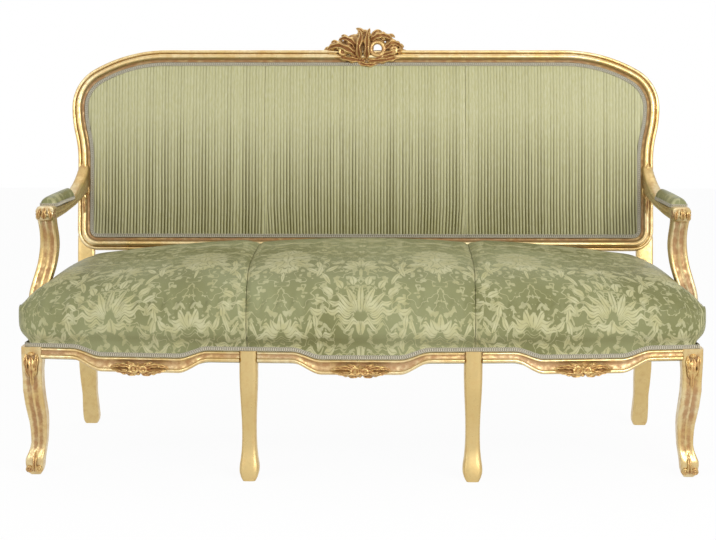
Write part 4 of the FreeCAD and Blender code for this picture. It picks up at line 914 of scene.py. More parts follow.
def crestParts():
    b = blade
    parts = [
        mound(-44, 1046, 21, 66, 21, 10), mound(-26, 1070, 21, 34, 27, 9), mound(-2, 1066, 21, 27, 44, 10),
        mound(-60, 1060, 19, 34, 18, 9),
        mound(74, 1040, 20, 46, 14, 9), mound(38, 1029, 20, 46, 10, 9), mound(74, 1060, 20, 21, 24, 8),
        mound(34, 1086, 20, 36, 12, 8),
        mound(-86, 1046, 17, 34, 14, 9), mound(96, 1043, 17, 26, 13, 9),
        b([(0, 1022, 28), (-40, 1027, 36), (-80, 1036, 32), (-124, 1045, 14)], 12, 9, 5),
        b([(6, 1022, 28), (52, 1024, 35), (92, 1033, 31), (124, 1045, 14)], 11, 8.5, 5),
        b(
            [(-20, 1036, 32), (-44, 1052, 46), (-72, 1064, 40), (-96, 1060, 27), (-108, 1048, 18)], 14.5,
            10, 5,
        ),
        b([(-20, 1054, 34), (-38, 1076, 44), (-58, 1085, 37), (-76, 1077, 26)], 12.5, 9, 4),
        b([(-14, 1026, 36), (-19, 1060, 50), (-12, 1092, 42), (-22, 1112, 24)], 11, 10, 3),
        b([(4, 1026, 36), (5, 1060, 50), (6, 1092, 40), (14, 1115, 24)], 11, 10, 3),
        b([(14, 1080, 34), (38, 1092, 42), (62, 1090, 36), (82, 1074, 24)], 12.5, 9, 5),
        b([(54, 1056, 34), (74, 1072, 41), (92, 1068, 32), (106, 1055, 18)], 11.5, 8.5, 4),
        b([(46, 1038, 34), (74, 1046, 41), (98, 1050, 30), (116, 1043, 16)], 10.5, 8, 4),
        b([(-22, 1019, 30), (2, 1012, 36), (26, 1013, 34), (46, 1021, 28)], 8.5, 8, 3),
        b([(-4, 1098, 30), (-14, 1108, 32), (-27, 1112, 24)], 6.5, 6),
        b([(18, 1094, 32), (34, 1104, 32), (48, 1102, 24)], 6.5, 6),
        b([(-48, 1082, 30), (-58, 1091, 28), (-68, 1091, 20)], 5.5, 5.5),
        b([(-76, 1070, 28), (-86, 1076, 26), (-96, 1072, 18)], 5.5, 5.5),
        b([(62, 1090, 28), (74, 1093, 26), (84, 1086, 20)], 5.5, 5.5),
        b([(90, 1064, 26), (100, 1066, 24), (109, 1059, 18)], 5, 5.5),
        b([(-96, 1054, 22), (-106, 1058, 20), (-115, 1052, 14)], 4.5, 5),
        ringOf(34, 1056, 34, 18.5, 6.8), ringOf(34, 1056, 25, 20, 7.2), ringOf(-62, 1048, 45, 8.5, 4.2),
        mound(-62, 1048, 42, 4.5, 4.5, 5),
        ringOf(80, 1053, 41, 7.5, 3.8), mound(80, 1053, 38, 4, 4, 5),
    ]
    back = [
        mound(-44, 1042, 9, 74, 18, 7), mound(46, 1034, 9, 72, 14, 7), mound(-6, 1068, 10, 26, 42, 6),
        mound(74, 1056, 10, 24, 27, 6), mound(36, 1086, 10, 36, 10, 6),
    ]
    return laid(parts + back, onCrest)


carving("crest_carving", crestParts(), 1.3, ["crest"], 1.4)
print("crest carved")


def cartouche(at, low, way):
    b, z = blade, low + 15
    parts = [
        mound(at, z, 4, 44, 12, 7), mound(at - 30, z + 1, 3, 30, 9, 6), mound(at + 30, z + 1, 3, 30, 9, 6),
    ]
    parts += [
        ringOf(at - 14, z, 12, 9.5, 3.4), mound(at - 14, z, 11, 5.2, 5.2, 5.5),
        ringOf(at + 10, z - 1, 12, 7.5, 3.2), mound(at + 10, z - 1, 11, 3.8, 3.8, 5),
    ]
    for side in (-1, 1):
        parts += [
            b([
                (at + side * 16, z + 3, 8), (at + side * 36, z + 10, 14), (at + side * 58, z + 8, 10),
                (at + side * 76, z + 1, 3),
            ], 7, 5.5, 4),
            b([
                (at + side * 14, z - 6, 8), (at + side * 34, z - 8, 14), (at + side * 54, z - 4, 10),
                (at + side * 70, z - 2, 3),
            ], 6.5, 5.5, 4),
            b(
                [(at + side * 10, z + 8, 8), (at + side * 22, z + 15, 12), (at + side * 34, z + 17, 6)], 5,
                5, 2,
            ),
            b(
                [(at + side * 4, z - 9, 8), (at + side * 18, z - 14, 12), (at + side * 32, z - 13, 6)], 4.6,
                4.5, 2,
            ),
        ]
    parts += [
        b([(at - 2, z - 4, 10), (at - 2, z + 8, 15), (at - 3, z + 17, 8)], 4.5, 5),
        mound(at - 2, z - 12, 8, 5, 4, 6),
    ]
    return laid(parts, way)


carving("cartouche_centre", cartouche(0, 262, onFace(bpy.data.objects["rail_centre"])), 1.1, strength=1.5)
carving("cartouche_right", cartouche(544, 262, onFace(bpy.data.objects["rail_right"])), 1.1, strength=1.5)
carving("cartouche_left", cartouche(-544, 262, onFace(bpy.data.objects["rail_left"])), 1.1, strength=1.5)
print("cartouches carved")


def legLeaves(side, way):
    press = onFace(bpy.data.objects[f"corner_leg_{side}"])
    b, at = blade, cornerLeg["at"]
    parts = [
        b([(at + 2, 300, 1), (at + 1, 276, 6), (at, 250, 5), (at, 222, 1)], 11, 4.5, 3),
        b([(at + 14, 306, 1), (at + 15, 286, 5), (at + 12, 262, 4), (at + 6, 246, 1)], 6, 4, 2),
        b([(at - 12, 306, 1), (at - 12, 286, 5), (at - 9, 262, 4), (at - 4, 246, 1)], 6, 4, 2),
        mound(at + 1, 306, 2, 9, 5, 5),
        b([(at - 1, 8, 1), (at - 2, 22, 6), (at - 3, 40, 5), (at - 5, 66, 1)], 8, 4, 2),
        ringOf(at + 12, 15, 3, 6.5, 3), ringOf(at - 13, 15, 3, 6.5, 3), mound(at + 12, 15, 2, 3, 3, 4),
        mound(at - 13, 15, 2, 3, 3, 4),
    ]
    points, faces = together(parts)
    points[:, 0] *= way
    if way < 0:
        faces = [face[::-1] for face in faces]
    carving(
        f"leg_carving_{side}", [(press(points[:, 0], points[:, 1], points[:, 2]), faces)], 1.0, strength=1.3,
    )


legLeaves("right", 1)
legLeaves("left", -1)


def stileLeaves(side, way):
    press = onFace(bpy.data.objects["back_frame"], 1.2)
    b, at = blade, 782.0
    parts = [
        b([(at, 655, 1), (at + 1, 685, 7), (at + 2, 715, 6), (at + 3, 748, 1)], 10, 4.5, 3),
        b([(at - 8, 640, 1), (at - 10, 664, 6), (at - 8, 690, 4), (at - 3, 706, 1)], 6, 4, 2),
        b([(at, 648, 1), (at, 634, 5), (at - 1, 616, 4), (at - 2, 596, 1)], 8, 4, 3),
    ]
    points, faces = together(parts)
    points[:, 0] *= way
    if way < 0:
        faces = [face[::-1] for face in faces]
    carving(
        f"stile_carving_{side}", [(press(points[:, 0], points[:, 1], points[:, 2]), faces)], 1.1,
        strength=1.3,
    )


def knuckleScroll(side, way):
    press = onFace(bpy.data.objects[f"arm_rail_{side}"], 1.2)
    at = armOuter(151.0) - armWide(151.0) / 2
    parts = [
        blade([(at + 1, 624, 1), (at + 1, 636, 5), (at, 646, 5), (at, 656, 1)], 9, 4, 2),
        blade([(at + 15, 624, 1), (at + 16, 636, 4), (at + 13, 646, 4), (at + 9, 655, 1)], 5, 3.5),
        blade([(at - 15, 624, 1), (at - 16, 636, 4), (at - 13, 646, 4), (at - 9, 655, 1)], 5, 3.5),
    ]
    points, faces = together(parts)
    points[:, 0] *= way
    if way < 0:
        faces = [face[::-1] for face in faces]
    carving(
        f"knuckle_carving_{side}", [(press(points[:, 0], points[:, 1], points[:, 2]), faces)], 1.0,
        strength=1.3,
    )


knuckleScroll("right", 1)
knuckleScroll("left", -1)
stileLeaves("right", 1)
stileLeaves("left", -1)
print("legs and stiles carved")

# Damask: leaves, fans and medallions in a half-drop repeat, drawn in the cloth's own millimetres

damask = {
    "acrossRepeat": 364.0,
    "alongRepeat": 480.0,
    "ground": (0.265, 0.275, 0.135),
    "shade": (0.18, 0.18, 0.07),
    "figure": (0.50, 0.465, 0.24),
    "figurePale": (0.59, 0.565, 0.35),
}

leafGroup, leafIn, leafOut = shaderGroup(
    "Damask leaf",
    [(label, "NodeSocketFloat", 0.0) for label in ("X", "Y", "AtX", "AtY", "Cosine", "Sine", "Long", "Wide")],
    [("Mask", "NodeSocketFloat")],
)


def fillLeaf():
    tree = leafGroup
    dx, dy = calc(
        tree, "SUBTRACT", leafIn["X"], leafIn["AtX"],
    ), calc(tree, "SUBTRACT", leafIn["Y"], leafIn["AtY"])
    along = calc(
        tree, "ADD", calc(tree, "MULTIPLY", dx, leafIn["Cosine"]),
        calc(tree, "MULTIPLY", dy, leafIn["Sine"]),
    )
    over = calc(
        tree, "SUBTRACT", calc(tree, "MULTIPLY", dy, leafIn["Cosine"]),
        calc(tree, "MULTIPLY", dx, leafIn["Sine"]),
    )
    s, t = calc(tree, "DIVIDE", along, leafIn["Long"]), calc(tree, "DIVIDE", over, leafIn["Wide"])
    square = calc(tree, "MULTIPLY", s, s)
    bent = calc(tree, "ABSOLUTE", calc(tree, "ADD", t, calc(tree, "MULTIPLY", square, 0.3)))
    inside = calc(tree, "SUBTRACT", calc(tree, "SUBTRACT", 1.0, square), bent)
    body = calc(tree, "MULTIPLY", inside, 5.0, clamp=True)
    vein = calc(tree, "MULTIPLY", calc(tree, "SUBTRACT", 0.17, bent), 9.0, clamp=True)
    tree.links.new(
        calc(tree, "SUBTRACT", body, calc(tree, "MULTIPLY", vein, 0.7), clamp=True), leafOut["Mask"],
    )


fillLeaf()


def fan(x, y, angles, reach, long, wide):
    return [
        (x + reach * math.cos(math.radians(a)), y + reach * math.sin(math.radians(a)), a, long, wide)
        for a in angles
    ]


def oval(x, y, rx, ry, count, long, wide, first=0.0):
    leaves = []
    for n in range(count):
        a = math.radians(first + 360 * n / count)
        px, py = x + rx * math.cos(a), y + ry * math.sin(a)
        if px <= x + 4:
            leaves.append(
                (px, py, math.degrees(math.atan2(ry * math.sin(a) * rx, rx * math.cos(a) * ry)), long, wide),
            )
    return leaves


damaskLeaves = (
    fan(0, -186, (90, 70, 52, 34, 16), 54, 40, 8.0) + fan(0, -180, (80, 61, 43, 26, 8), 100, 17, 9)
    + [(0, -207, 90, 20, 12), (20, -203, -28, 24, 8), (38, -190, 8, 18, 7)]
    + fan(0, -34, (90, 62, 34, 8), 28, 20, 8) + [(0, -54, 90, 20, 4)]
    + oval(182, 40, 47, 80, 18, 14, 11) + oval(182, 40, 27, 52, 12, 20, 12, 8)
    + [(182, 40, 90, 44, 15), (182, -64, 90, 22, 4)]
    + fan(182, -228, (90, 118, 146, 172), 30, 24, 9)
    + [(80, -72, 62, 26, 6), (
        96, -46, 102, 24, 7,
    ), (114, -42, 38, 22, 7), (68, -36, 135, 22, 7), (101, -14, 78, 20, 7),
       (125, -12, 28, 17, 6), (83, 6, 112, 16, 6), (58, -8, 158, 16, 6)]
    + [
        (88, 90, 22, 26, 6), (68, 110, 62, 20, 6), (116, 107, 124, 20, 6), (95, 128, 88, 17, 7),
        (58, 74, -18, 22, 6), (30, 92, 40, 18, 7), (0, 104, 90, 18, 8),
    ]
    + [
        (96, -222, 72, 24, 7), (118, -212, 112, 22, 7), (134, -226, 38, 18, 6), (76, -230, 142, 18, 6),
        (102, -190, 88, 19, 7),
    ]
    + [
        (92, 176, 64, 24, 7), (112, 196, 30, 22, 7), (72, 200, 128, 22, 7), (96, 222, 92, 18, 7),
        (32, 178, 24, 24, 8), (0, 196, 90, 24, 10), (150, 205, 140, 20, 7),
    ]
)


def damaskMaterial():
    material, tree, shader = newMaterial("Seat damask", Specular_IOR_Level=0.22)
    uv = addNode(tree, "ShaderNodeUVMap", uv_map="Cloth").outputs[0]
    split = addNode(tree, "ShaderNodeSeparateXYZ", {0: uv}).outputs
    side = calc(tree, "GREATER_THAN", calc(tree, "ABSOLUTE", split["X"]), layout["seamAt"])
    panel = calc(tree, "MULTIPLY", calc(tree, "MULTIPLY", side, calc(tree, "SIGN", split["X"])), 575.0)
    half = damask["acrossRepeat"] / 2
    local = calc(tree, "SUBTRACT", split["X"], panel)
    x = calc(tree, "PINGPONG", calc(tree, "ABSOLUTE", local), half)
    rows = calc(tree, "SUBTRACT", split["Y"], calc(tree, "MULTIPLY", side, 29.0))
    y = calc(tree, "WRAP", rows, damask["alongRepeat"] / 2 + 4, -damask["alongRepeat"] / 2 + 4)
    ripple = noiseOf(tree, addNode(tree, "ShaderNodeTexCoord").outputs["Object"], 120.0, 2.0, 0.5, 9.0)
    x = calc(tree, "ADD", x, calc(tree, "MULTIPLY", calc(tree, "SUBTRACT", ripple, 0.5), 3.0))
    mask = None
    for atX, atY, angle, long, wide in damaskLeaves:
        turn = math.radians(angle)
        one = place(
            tree, leafGroup, X=x, Y=y, AtX=float(atX), AtY=float(atY), Cosine=math.cos(turn),
            Sine=math.sin(turn), Long=float(long), Wide=float(wide),
        )["Mask"]
        mask = one if mask is None else calc(tree, "MAXIMUM", mask, one)
    mirrored = calc(
        tree, "PINGPONG", calc(tree, "ADD", rows, damask["alongRepeat"]), damask["alongRepeat"] / 2,
    )
    spot = addNode(tree, "ShaderNodeCombineXYZ", {0: x, 1: mirrored, 2: 0.0}).outputs[0]
    curls = calc(tree, "ABSOLUTE", calc(tree, "SUBTRACT", noiseOf(tree, spot, 0.034, 1.0, 0.5, 5.3), 0.5))
    sprays = noiseOf(tree, spot, 0.062, 1.5, 0.5, 8.4)
    tendril = calc(tree, "MULTIPLY", calc(tree, "SUBTRACT", 0.02, curls), 80.0, clamp=True)
    foliage = calc(tree, "MULTIPLY", calc(tree, "SUBTRACT", sprays, 0.575), 34.0, clamp=True)
    vein = calc(
        tree, "MULTIPLY",
        calc(tree, "SUBTRACT", 0.011, calc(tree, "ABSOLUTE", calc(tree, "SUBTRACT", sprays, 0.63))), 90.0,
        clamp=True,
    )
    foliage = calc(tree, "SUBTRACT", foliage, calc(tree, "MULTIPLY", vein, 0.6), clamp=True)
    mask = calc(tree, "MAXIMUM", mask, calc(tree, "MULTIPLY", calc(tree, "MAXIMUM", tendril, foliage), 0.72))
    threads = place(tree, weaveGroup, Across=split["X"], Along=split["Y"], Pitch=0.75)
    where = addNode(tree, "ShaderNodeTexCoord").outputs["Object"]
    broad = noiseOf(tree, where, 4.0, 2.0, 0.5, 12.0)
    ground = mixColour(tree, fade(tree, broad, 0.35, 0.65), damask["ground"], damask["shade"])
    figure = mixColour(
        tree, fade(tree, noiseOf(tree, where, 30.0, 3.0, 0.6, 1.0), 0.35, 0.65), damask["figure"],
        damask["figurePale"],
    )
    colour = mixColour(tree, calc(tree, "MULTIPLY", mask, 0.78), ground, figure)
    colour = mixColour(tree, calc(tree, "MULTIPLY", threads["Thread"], 0.16), colour, damask["shade"])
    tree.links.new(colour, shader.inputs["Base Color"])
    tree.links.new(fade(tree, mask, 0.0, 1.0, 0.34, 0.52), shader.inputs["Roughness"])
    bumpInto(tree, shader, threads["Height"], 0.00015, 0.6)
    return material


seatDamask = damaskMaterial()
print("damask drawn")

# Geometry Nodes

def nodeTool(name, inputs):  # an empty tree with named inputs, and the sockets of its ends
    tree = bpy.data.node_groups.new(name, "GeometryNodeTree")
    tree.interface.new_socket("Geometry", in_out="INPUT", socket_type="NodeSocketGeometry")
    for label, kind, value in inputs:
        socket = tree.interface.new_socket(label, in_out="INPUT", socket_type=kind)
        if value is not None:
            socket.default_value = value
    tree.interface.new_socket("Geometry", in_out="OUTPUT", socket_type="NodeSocketGeometry")
    return tree, tree.nodes.new("NodeGroupInput").outputs, tree.nodes.new("NodeGroupOutput").inputs


def runTool(piece, tree, **values):  # sets the inputs and keeps the result as a plain mesh
    modifier = piece.modifiers.new("Nodes", "NODES")
    modifier.node_group = tree
    for item in tree.interface.items_tree:
        if item.item_type == "SOCKET" and item.in_out == "INPUT" and item.name in values:
            modifier[item.identifier] = values[item.name]
    made = bpy.data.meshes.new_from_object(piece.evaluated_get(bpy.context.evaluated_depsgraph_get()))
    piece.modifiers.clear()
    piece.data = made
    made.polygons.foreach_set("use_smooth", [True] * len(made.polygons))
    return piece


def ended(tree, geometry, material, target):
    real = addNode(tree, "GeometryNodeRealizeInstances", {0: geometry}).outputs[0]
    painted = addNode(tree, "GeometryNodeSetMaterial", {"Geometry": real, "Material": material}).outputs[0]
    tree.links.new(painted, target["Geometry"])


# Back upholstery: three panels of close upright pleats

backPanel = {
    "inset": 35.0,
    "pitch": 8.7,
    "deepLow": 3.1,
    "deepHigh": 1.15,
    "edge": 31.5,
    "swell": 27.0,
    "rows": 46,
    "perPleat": 7,
    "seamGap": 0.5,
}

pleatTool, pleatIn, pleatOut = nodeTool("Upright pleats", [
    ("Pitch", "NodeSocketFloat", 0.0087), ("Depth low", "NodeSocketFloat", 0.0025),
    ("Depth high", "NodeSocketFloat", 0.001), ("Wander", "NodeSocketFloat", 0.0012),
    ("Seed", "NodeSocketInt", 4),
    ("Silk", "NodeSocketMaterial", None)])


def fillPleats():
    tree = pleatTool
    across = addNode(
        tree, "GeometryNodeInputNamedAttribute", {"Name": "across"}, data_type="FLOAT",
    ).outputs[0]
    upwards = addNode(
        tree, "GeometryNodeInputNamedAttribute", {"Name": "upwards"}, data_type="FLOAT",
    ).outputs[0]
    held = addNode(tree, "GeometryNodeInputNamedAttribute", {"Name": "held"}, data_type="FLOAT").outputs[0]
    seed = calc(tree, "MULTIPLY", pleatIn["Seed"], 3.7)
    spot = addNode(
        tree, "ShaderNodeCombineXYZ",
        {0: calc(tree, "MULTIPLY", across, 26.0), 1: calc(tree, "MULTIPLY", upwards, 1.6), 2: seed},
    ).outputs[0]
    wander = addNode(tree, "ShaderNodeTexNoise", {"Vector": spot, "Scale": 1.0, "Detail": 1.0}).outputs[0]
    moved = calc(tree, "ADD", across, calc(
        tree, "MULTIPLY", calc(tree, "SUBTRACT", wander, 0.5),
        calc(tree, "MULTIPLY", pleatIn["Wander"], 2.0),
    ))
    share = calc(tree, "FRACT", calc(tree, "DIVIDE", moved, pleatIn["Pitch"]))
    rise = calc(tree, "POWER", fade(tree, share, 0.0, 0.72), 0.6)
    fall = fade(tree, share, 0.78, 1.0, 1.0, 0.0)
    fold = calc(tree, "MINIMUM", rise, fall)
    number = calc(tree, "FLOOR", calc(tree, "DIVIDE", moved, pleatIn["Pitch"]))
    white = addNode(
        tree, "ShaderNodeTexWhiteNoise", {"W": calc(tree, "ADD", number, seed)}, noise_dimensions="1D",
    ).outputs[0]
    lowness = fade(tree, upwards, 0.12, 0.72, 1.0, 0.0)
    depth = addNode(
        tree, "ShaderNodeMix", {0: lowness, 2: pleatIn["Depth high"], 3: pleatIn["Depth low"]},
    ).outputs[0]
    depth = calc(tree, "MULTIPLY", depth, calc(tree, "ADD", calc(tree, "MULTIPLY", white, 0.6), 0.7))
    depth = calc(tree, "MULTIPLY", depth, held)
    sunk = calc(tree, "MULTIPLY", calc(tree, "SUBTRACT", 1.0, fold), depth)
    normal = tree.nodes.new("GeometryNodeInputNormal").outputs[0]
    offset = addNode(
        tree, "ShaderNodeVectorMath", {0: normal, "Scale": calc(tree, "MULTIPLY", sunk, -1.0)},
        operation="SCALE",
    ).outputs[0]
    placed = addNode(
        tree, "GeometryNodeSetPosition", {"Geometry": pleatIn["Geometry"], "Offset": offset},
    ).outputs[0]
    # recess here is the depth of each pleat valley; the silk colours it darker as painted shade
    hollow = calc(tree, "MULTIPLY", calc(tree, "DIVIDE", sunk, pleatIn["Depth low"]), 1.4, clamp=True)
    noted = addNode(
        tree, "GeometryNodeStoreNamedAttribute", {"Geometry": placed, "Name": "recess", "Value": hollow},
        data_type="FLOAT", domain="POINT",
    ).outputs[0]
    ended(tree, noted, pleatIn["Silk"], pleatOut)


fillPleats()


def edgeLines(inset):  # lowest and highest v of the frame's opening at x, by the frame's own outline
    points = edgePoints + edgeInward * inset
    half = points[: len(points) // 2 + 1]
    widest = int(np.argmax(half[:, 0]))
    lower, upper = half[: widest + 1], half[widest:][::-1]
    return (
        lambda x: np.interp(np.abs(x), lower[:, 0], lower[:, 1])
    ), (lambda x: np.interp(np.abs(x), upper[:, 0], upper[:, 1])), half[widest]


def backHeight(x, v):
    middle = backFrame["high"] / 2
    level = 1 - np.abs(x / 784.0) ** 2.6
    upright = 1 - np.abs((v - middle) / (middle - 34.0)) ** 2.4
    seam = 2.6 * np.exp(-((np.abs(x) - layout["seamAt"]) / 9.0) ** 2)
    return backPanel["edge"] + backPanel["swell"] * np.clip(level, 0, 1) * np.clip(
        upright, 0, 1,
    ) ** 0.8 - seam


def pleatedPanel(name, x0, x1, nodes):
    lowLine, highLine, far = edgeLines(backPanel["inset"])
    x1, x0 = min(x1, far[0] - 1.2), max(x0, -far[0] + 1.2)
    cols = int((x1 - x0) / backPanel["pitch"] * backPanel["perPleat"])
    x = np.linspace(x0, x1, cols)
    share = np.linspace(0, 1, backPanel["rows"])
    share = 0.5 - 0.5 * np.cos(np.pi * share) * (0.35 + 0.65 * np.abs(np.cos(np.pi * share)) ** 0.3)
    share = np.clip((share - share[0]) / (share[-1] - share[0]), 0, 1)
    low, high = lowLine(x), highLine(x)
    v = low + (high - low) * share[:, None]
    xs = np.broadcast_to(x, v.shape)
    lean = 0.045 * smooth(np.abs(xs), 60, 278) * np.sign(xs) * np.where(
        np.abs(xs) > 278, -0.6, 1.0,
    ) * (120 - np.clip(v, 0, 120))
    front = leaned(xs, v, backHeight(xs, v))
    away = np.minimum(np.minimum(v - low, high - v), np.minimum(np.abs(xs - x0), np.abs(x1 - xs)) * 1.5)
    rear = leaned(xs, v, np.minimum(26.5, backHeight(xs, v) - 2.5))
    rows, count = v.shape
    points = np.concatenate([front.reshape(-1, 3), rear.reshape(-1, 3)])
    faces = gridFaces(rows, count) + [face[::-1] for face in gridFaces(rows, count, start=rows * count)]
    rim = list(range(count)) + [r * count + count - 1 for r in range(1, rows)]
    rim += [
        (rows - 1) * count + c for c in range(count - 2, -1, -1)
    ] + [r * count for r in range(rows - 2, 0, -1)]
    shift = rows * count
    faces += [
        [rim[(n + 1) % len(rim)], rim[n], rim[n] + shift, rim[(n + 1) % len(rim)] + shift]
        for n in range(len(rim))
    ]
    mesh = makeMesh(name, points, faces)
    for key, values in (
        ("across", (xs + lean) / 1000), ("upwards", share[:, None] + 0 * xs),
        ("held", smooth(away, 0.0, 9.0)),
    ):
        both = np.concatenate(
            [np.asarray(values).ravel(), (0 if key == "held" else 1) * np.asarray(values).ravel()],
        )
        mesh.attributes.new(key, "FLOAT", "POINT").data.foreach_set("value", both.astype(np.float32))
    piece = runTool(addObject(name, mesh), pleatTool, Pitch=backPanel["pitch"] / 1000, **{
        "Depth low": backPanel["deepLow"] / 1000, "Depth high": backPanel["deepHigh"] / 1000, "Silk": pleatedSilk})
    for key in ("across", "upwards", "held"):
        piece.data.attributes.remove(piece.data.attributes[key])
    settle(piece, pleatedSilk, nodes)
    return piece


gap = backPanel["seamGap"]
pleatedPanel(
    "back_panel_centre", -layout["seamAt"] + gap, layout["seamAt"] - gap,
    ["back_cover_centre", "back_stuffing", "back_hessian", "back_webbing"],
)
pleatedPanel("back_panel_right", layout["seamAt"] + gap, 820.0, ["back_cover_right"])
pleatedPanel("back_panel_left", -820.0, -layout["seamAt"] - gap, ["back_cover_left"])
print("back pleated")

# Seat: a crowned form on the bowed frame, swelled by a pressure simulation and sunk at its seams

seatForm = {
    "crown": 549.0,
    "crownAt": 372.0,
    "wideAt": 388.0,
    "bulge": 26.0,
    "sideBulge": 17.0,
    "roll": 118.0,
    "cornerRound": 46.0,
    "spineHalf": 600.0,
    "spineAt": 270.0,
    "around": 520,
    "pressure": 4.0,
    "cap": 7.0,
    "seamDepth": 5.0,
    "seamWidth": 6.5,
    "sideFall": 62.0,
    "frontFall": 26.0,
    "rearFall": 42.0,
    "rearLine": 577.0,
}


def seatBoundary():  # the widest line of the seat in plan, from the middle of the front round and back to it
    s = seatForm
    def cornered(points, radius):
        out = []
        for n in range(len(points)):
            a, b, c = points[n - 1], points[n], points[(n + 1) % len(points)]
            r = radius[n]
            if r == 0:
                out.append(b)
                continue
            u, w = unit(a - b), unit(c - b)
            t = np.linspace(0, 1, 12)[:, None]
            start, end = b + u * r, b + w * r
            out += list((1 - t) ** 2 * start + 2 * t * (1 - t) * b + t * t * end)
        return out

    front = [np.array((x, float(bowY(x, s["bulge"])))) for x in np.linspace(0, 800, 17)]
    corner = np.array((sideX(-50.0, s["sideBulge"]), float(bowY(858.0, s["bulge"]))))
    side = [np.array((sideX(y, s["sideBulge"]), y)) for y in (60.0, 150.0, 300.0, 450.0)]
    rear = [
        np.array((sideX(546.0, s["sideBulge"]), 546.0)), np.array((751.0, 546.0)),
        np.array((751.0, s["rearLine"])),
    ]
    half = front + [corner] + side + rear
    radius = [0] * len(front) + [s["cornerRound"]] + [0] * len(side) + [22.0, 5.0, 6.0]
    right = np.array(cornered(half + [np.array((0.0, s["rearLine"]))], radius + [0]))
    line = np.concatenate([right, right[-2:0:-1] * (-1, 1)])
    step = np.linalg.norm(np.diff(np.vstack([line, line[:1]]), axis=0), axis=1)
    where = np.concatenate([[0], np.cumsum(step)])
    even = np.linspace(0, where[-1], s["around"], endpoint=False)
    loop = np.vstack([line, line[:1]])
    return np.column_stack([np.interp(even, where, loop[:, 0]), np.interp(even, where, loop[:, 1])])


def seatTop(x, y):
    s = seatForm
    fore = np.clip((s["crownAt"] - y) / 460.0, 0, 1.1)
    aft = np.clip((y - s["crownAt"]) / 185.0, 0, 1.12)
    side = s["sideFall"] * (x / layout["cornerHalf"]) ** 2
    return s["crown"] - side - s["frontFall"] * fore**2.2 - s["rearFall"] * aft**2.3


def seatMesh():
    s = seatForm
    loop = seatBoundary()
    count = len(loop)
    tangent = unit(np.roll(loop, -1, 0) - np.roll(loop, 1, 0))
    normal = np.column_stack([tangent[:, 1], -tangent[:, 0]])
    normal = unit(blurred(normal, np.column_stack([np.arange(count), (np.arange(count) + 1) % count]), 6))
    rear = smooth(loop[:, 1], 530, 560)
    bulge = s["bulge"] * (1 - rear) + 4 * rear
    wall = [
        (-8.0, 300.0), (-8.0, 322.0), (-7.4, 333.0), (-2.0, 343.0), (0.55, 354.0), (0.83, 366.0),
        (0.97, 378.0),
    ]
    rings = []
    spine = np.column_stack(
        [np.clip(loop[:, 0] * 0.72, -s["spineHalf"], s["spineHalf"]), np.full(count, s["spineAt"])],
    )
    depths = np.concatenate([np.array([0, 1.2, 4, 9, 16, 25, 36, 49, 64, 82]) / 1.0, [102, 124]])
    distanceScale = np.linalg.norm(spine - loop, axis=1)
    target = layout["showTop"] - sweepDrop(np.where(
        loop[:, 1] < 0, np.minimum(np.abs(loop[:, 0]), np.abs(np.abs(loop[:, 0]) - rail["centre"])), 999,
    ), rail["topDrop"])
    for out, z in wall:
        back = (bulge + 5.7) if out < -5 else (bulge * (1 - out) if out > 0 else bulge + 1.5)
        plan = loop - normal * back[:, None]
        level = np.full(count, z)
        if z < 340:
            level = z + (target - layout["showTop"]) - (6 if z < 310 else 0)
        rings.append(np.column_stack([plan, level]))
    for d in depths:
        share = d / distanceScale
        rings.append(np.column_stack([loop + (spine - loop) * share[:, None], np.full(count, np.nan)]))
    for t in np.linspace(0, 1, 22)[1:]:
        share = depths[-1] / distanceScale
        share = share + (0.985 - share) * t
        rings.append(np.column_stack([loop + (spine - loop) * share[:, None], np.full(count, np.nan)]))
    for n, ring in enumerate(rings):
        if n >= len(wall):
            gap = np.linalg.norm(ring[:, None, :2] - loop[None, ::4], axis=2)
            near = gap.argmin(1)
            d = gap[np.arange(count), near]
            reach = np.where(loop[near * 4, 1] > 560, 34.0, s["roll"])
            rise = 1 - np.clip(1 - d / reach, 0, 1) ** 2.15
            top = seatTop(ring[:, 0], ring[:, 1])
            ring[:, 2] = s["wideAt"] + (top - s["wideAt"]) * rise ** (1 / 2.1)
    rings = np.array(rings)
    rows = len(rings)
    lift = rings[8:, :, 2].copy()
    index = np.arange((rows - 8) * count).reshape(rows - 8, count)
    edges = np.concatenate([
        np.column_stack([index[:-1].ravel(), index[1:].ravel()]),
        np.column_stack([index.ravel(), np.roll(index, -1, 1).ravel()]),
    ])
    ease = 0.5 * (1 - smooth(np.arange(rows - 8), 10, 18))[:, None]
    rings[8:, :, 2] = blurred(lift.ravel(), edges, 10).reshape(lift.shape) * ease + lift * (1 - ease)
    uv = rings[:, :, :2].copy()
    for n in range(len(wall) + len(depths) - 1, -1, -1):  # the cloth's own length, down over the roll
        uv[n] = uv[n + 1] + normal * np.linalg.norm(rings[n] - rings[n + 1], axis=1, keepdims=True)
    faces = gridFaces(rows, count, False, True)
    last = (rows - 1) * count
    middle = count // 2
    for n in range(middle // 2):
        for way in (1, -1):
            ring = [last + (way * k) % count for k in (n, n + 1, middle - n - 1, middle - n)]
            ring = [k for m, k in enumerate(ring) if k not in ring[:m]]
            faces.append(ring[::way])
    return rings.reshape(-1, 3), faces, uv.reshape(-1, 2), count


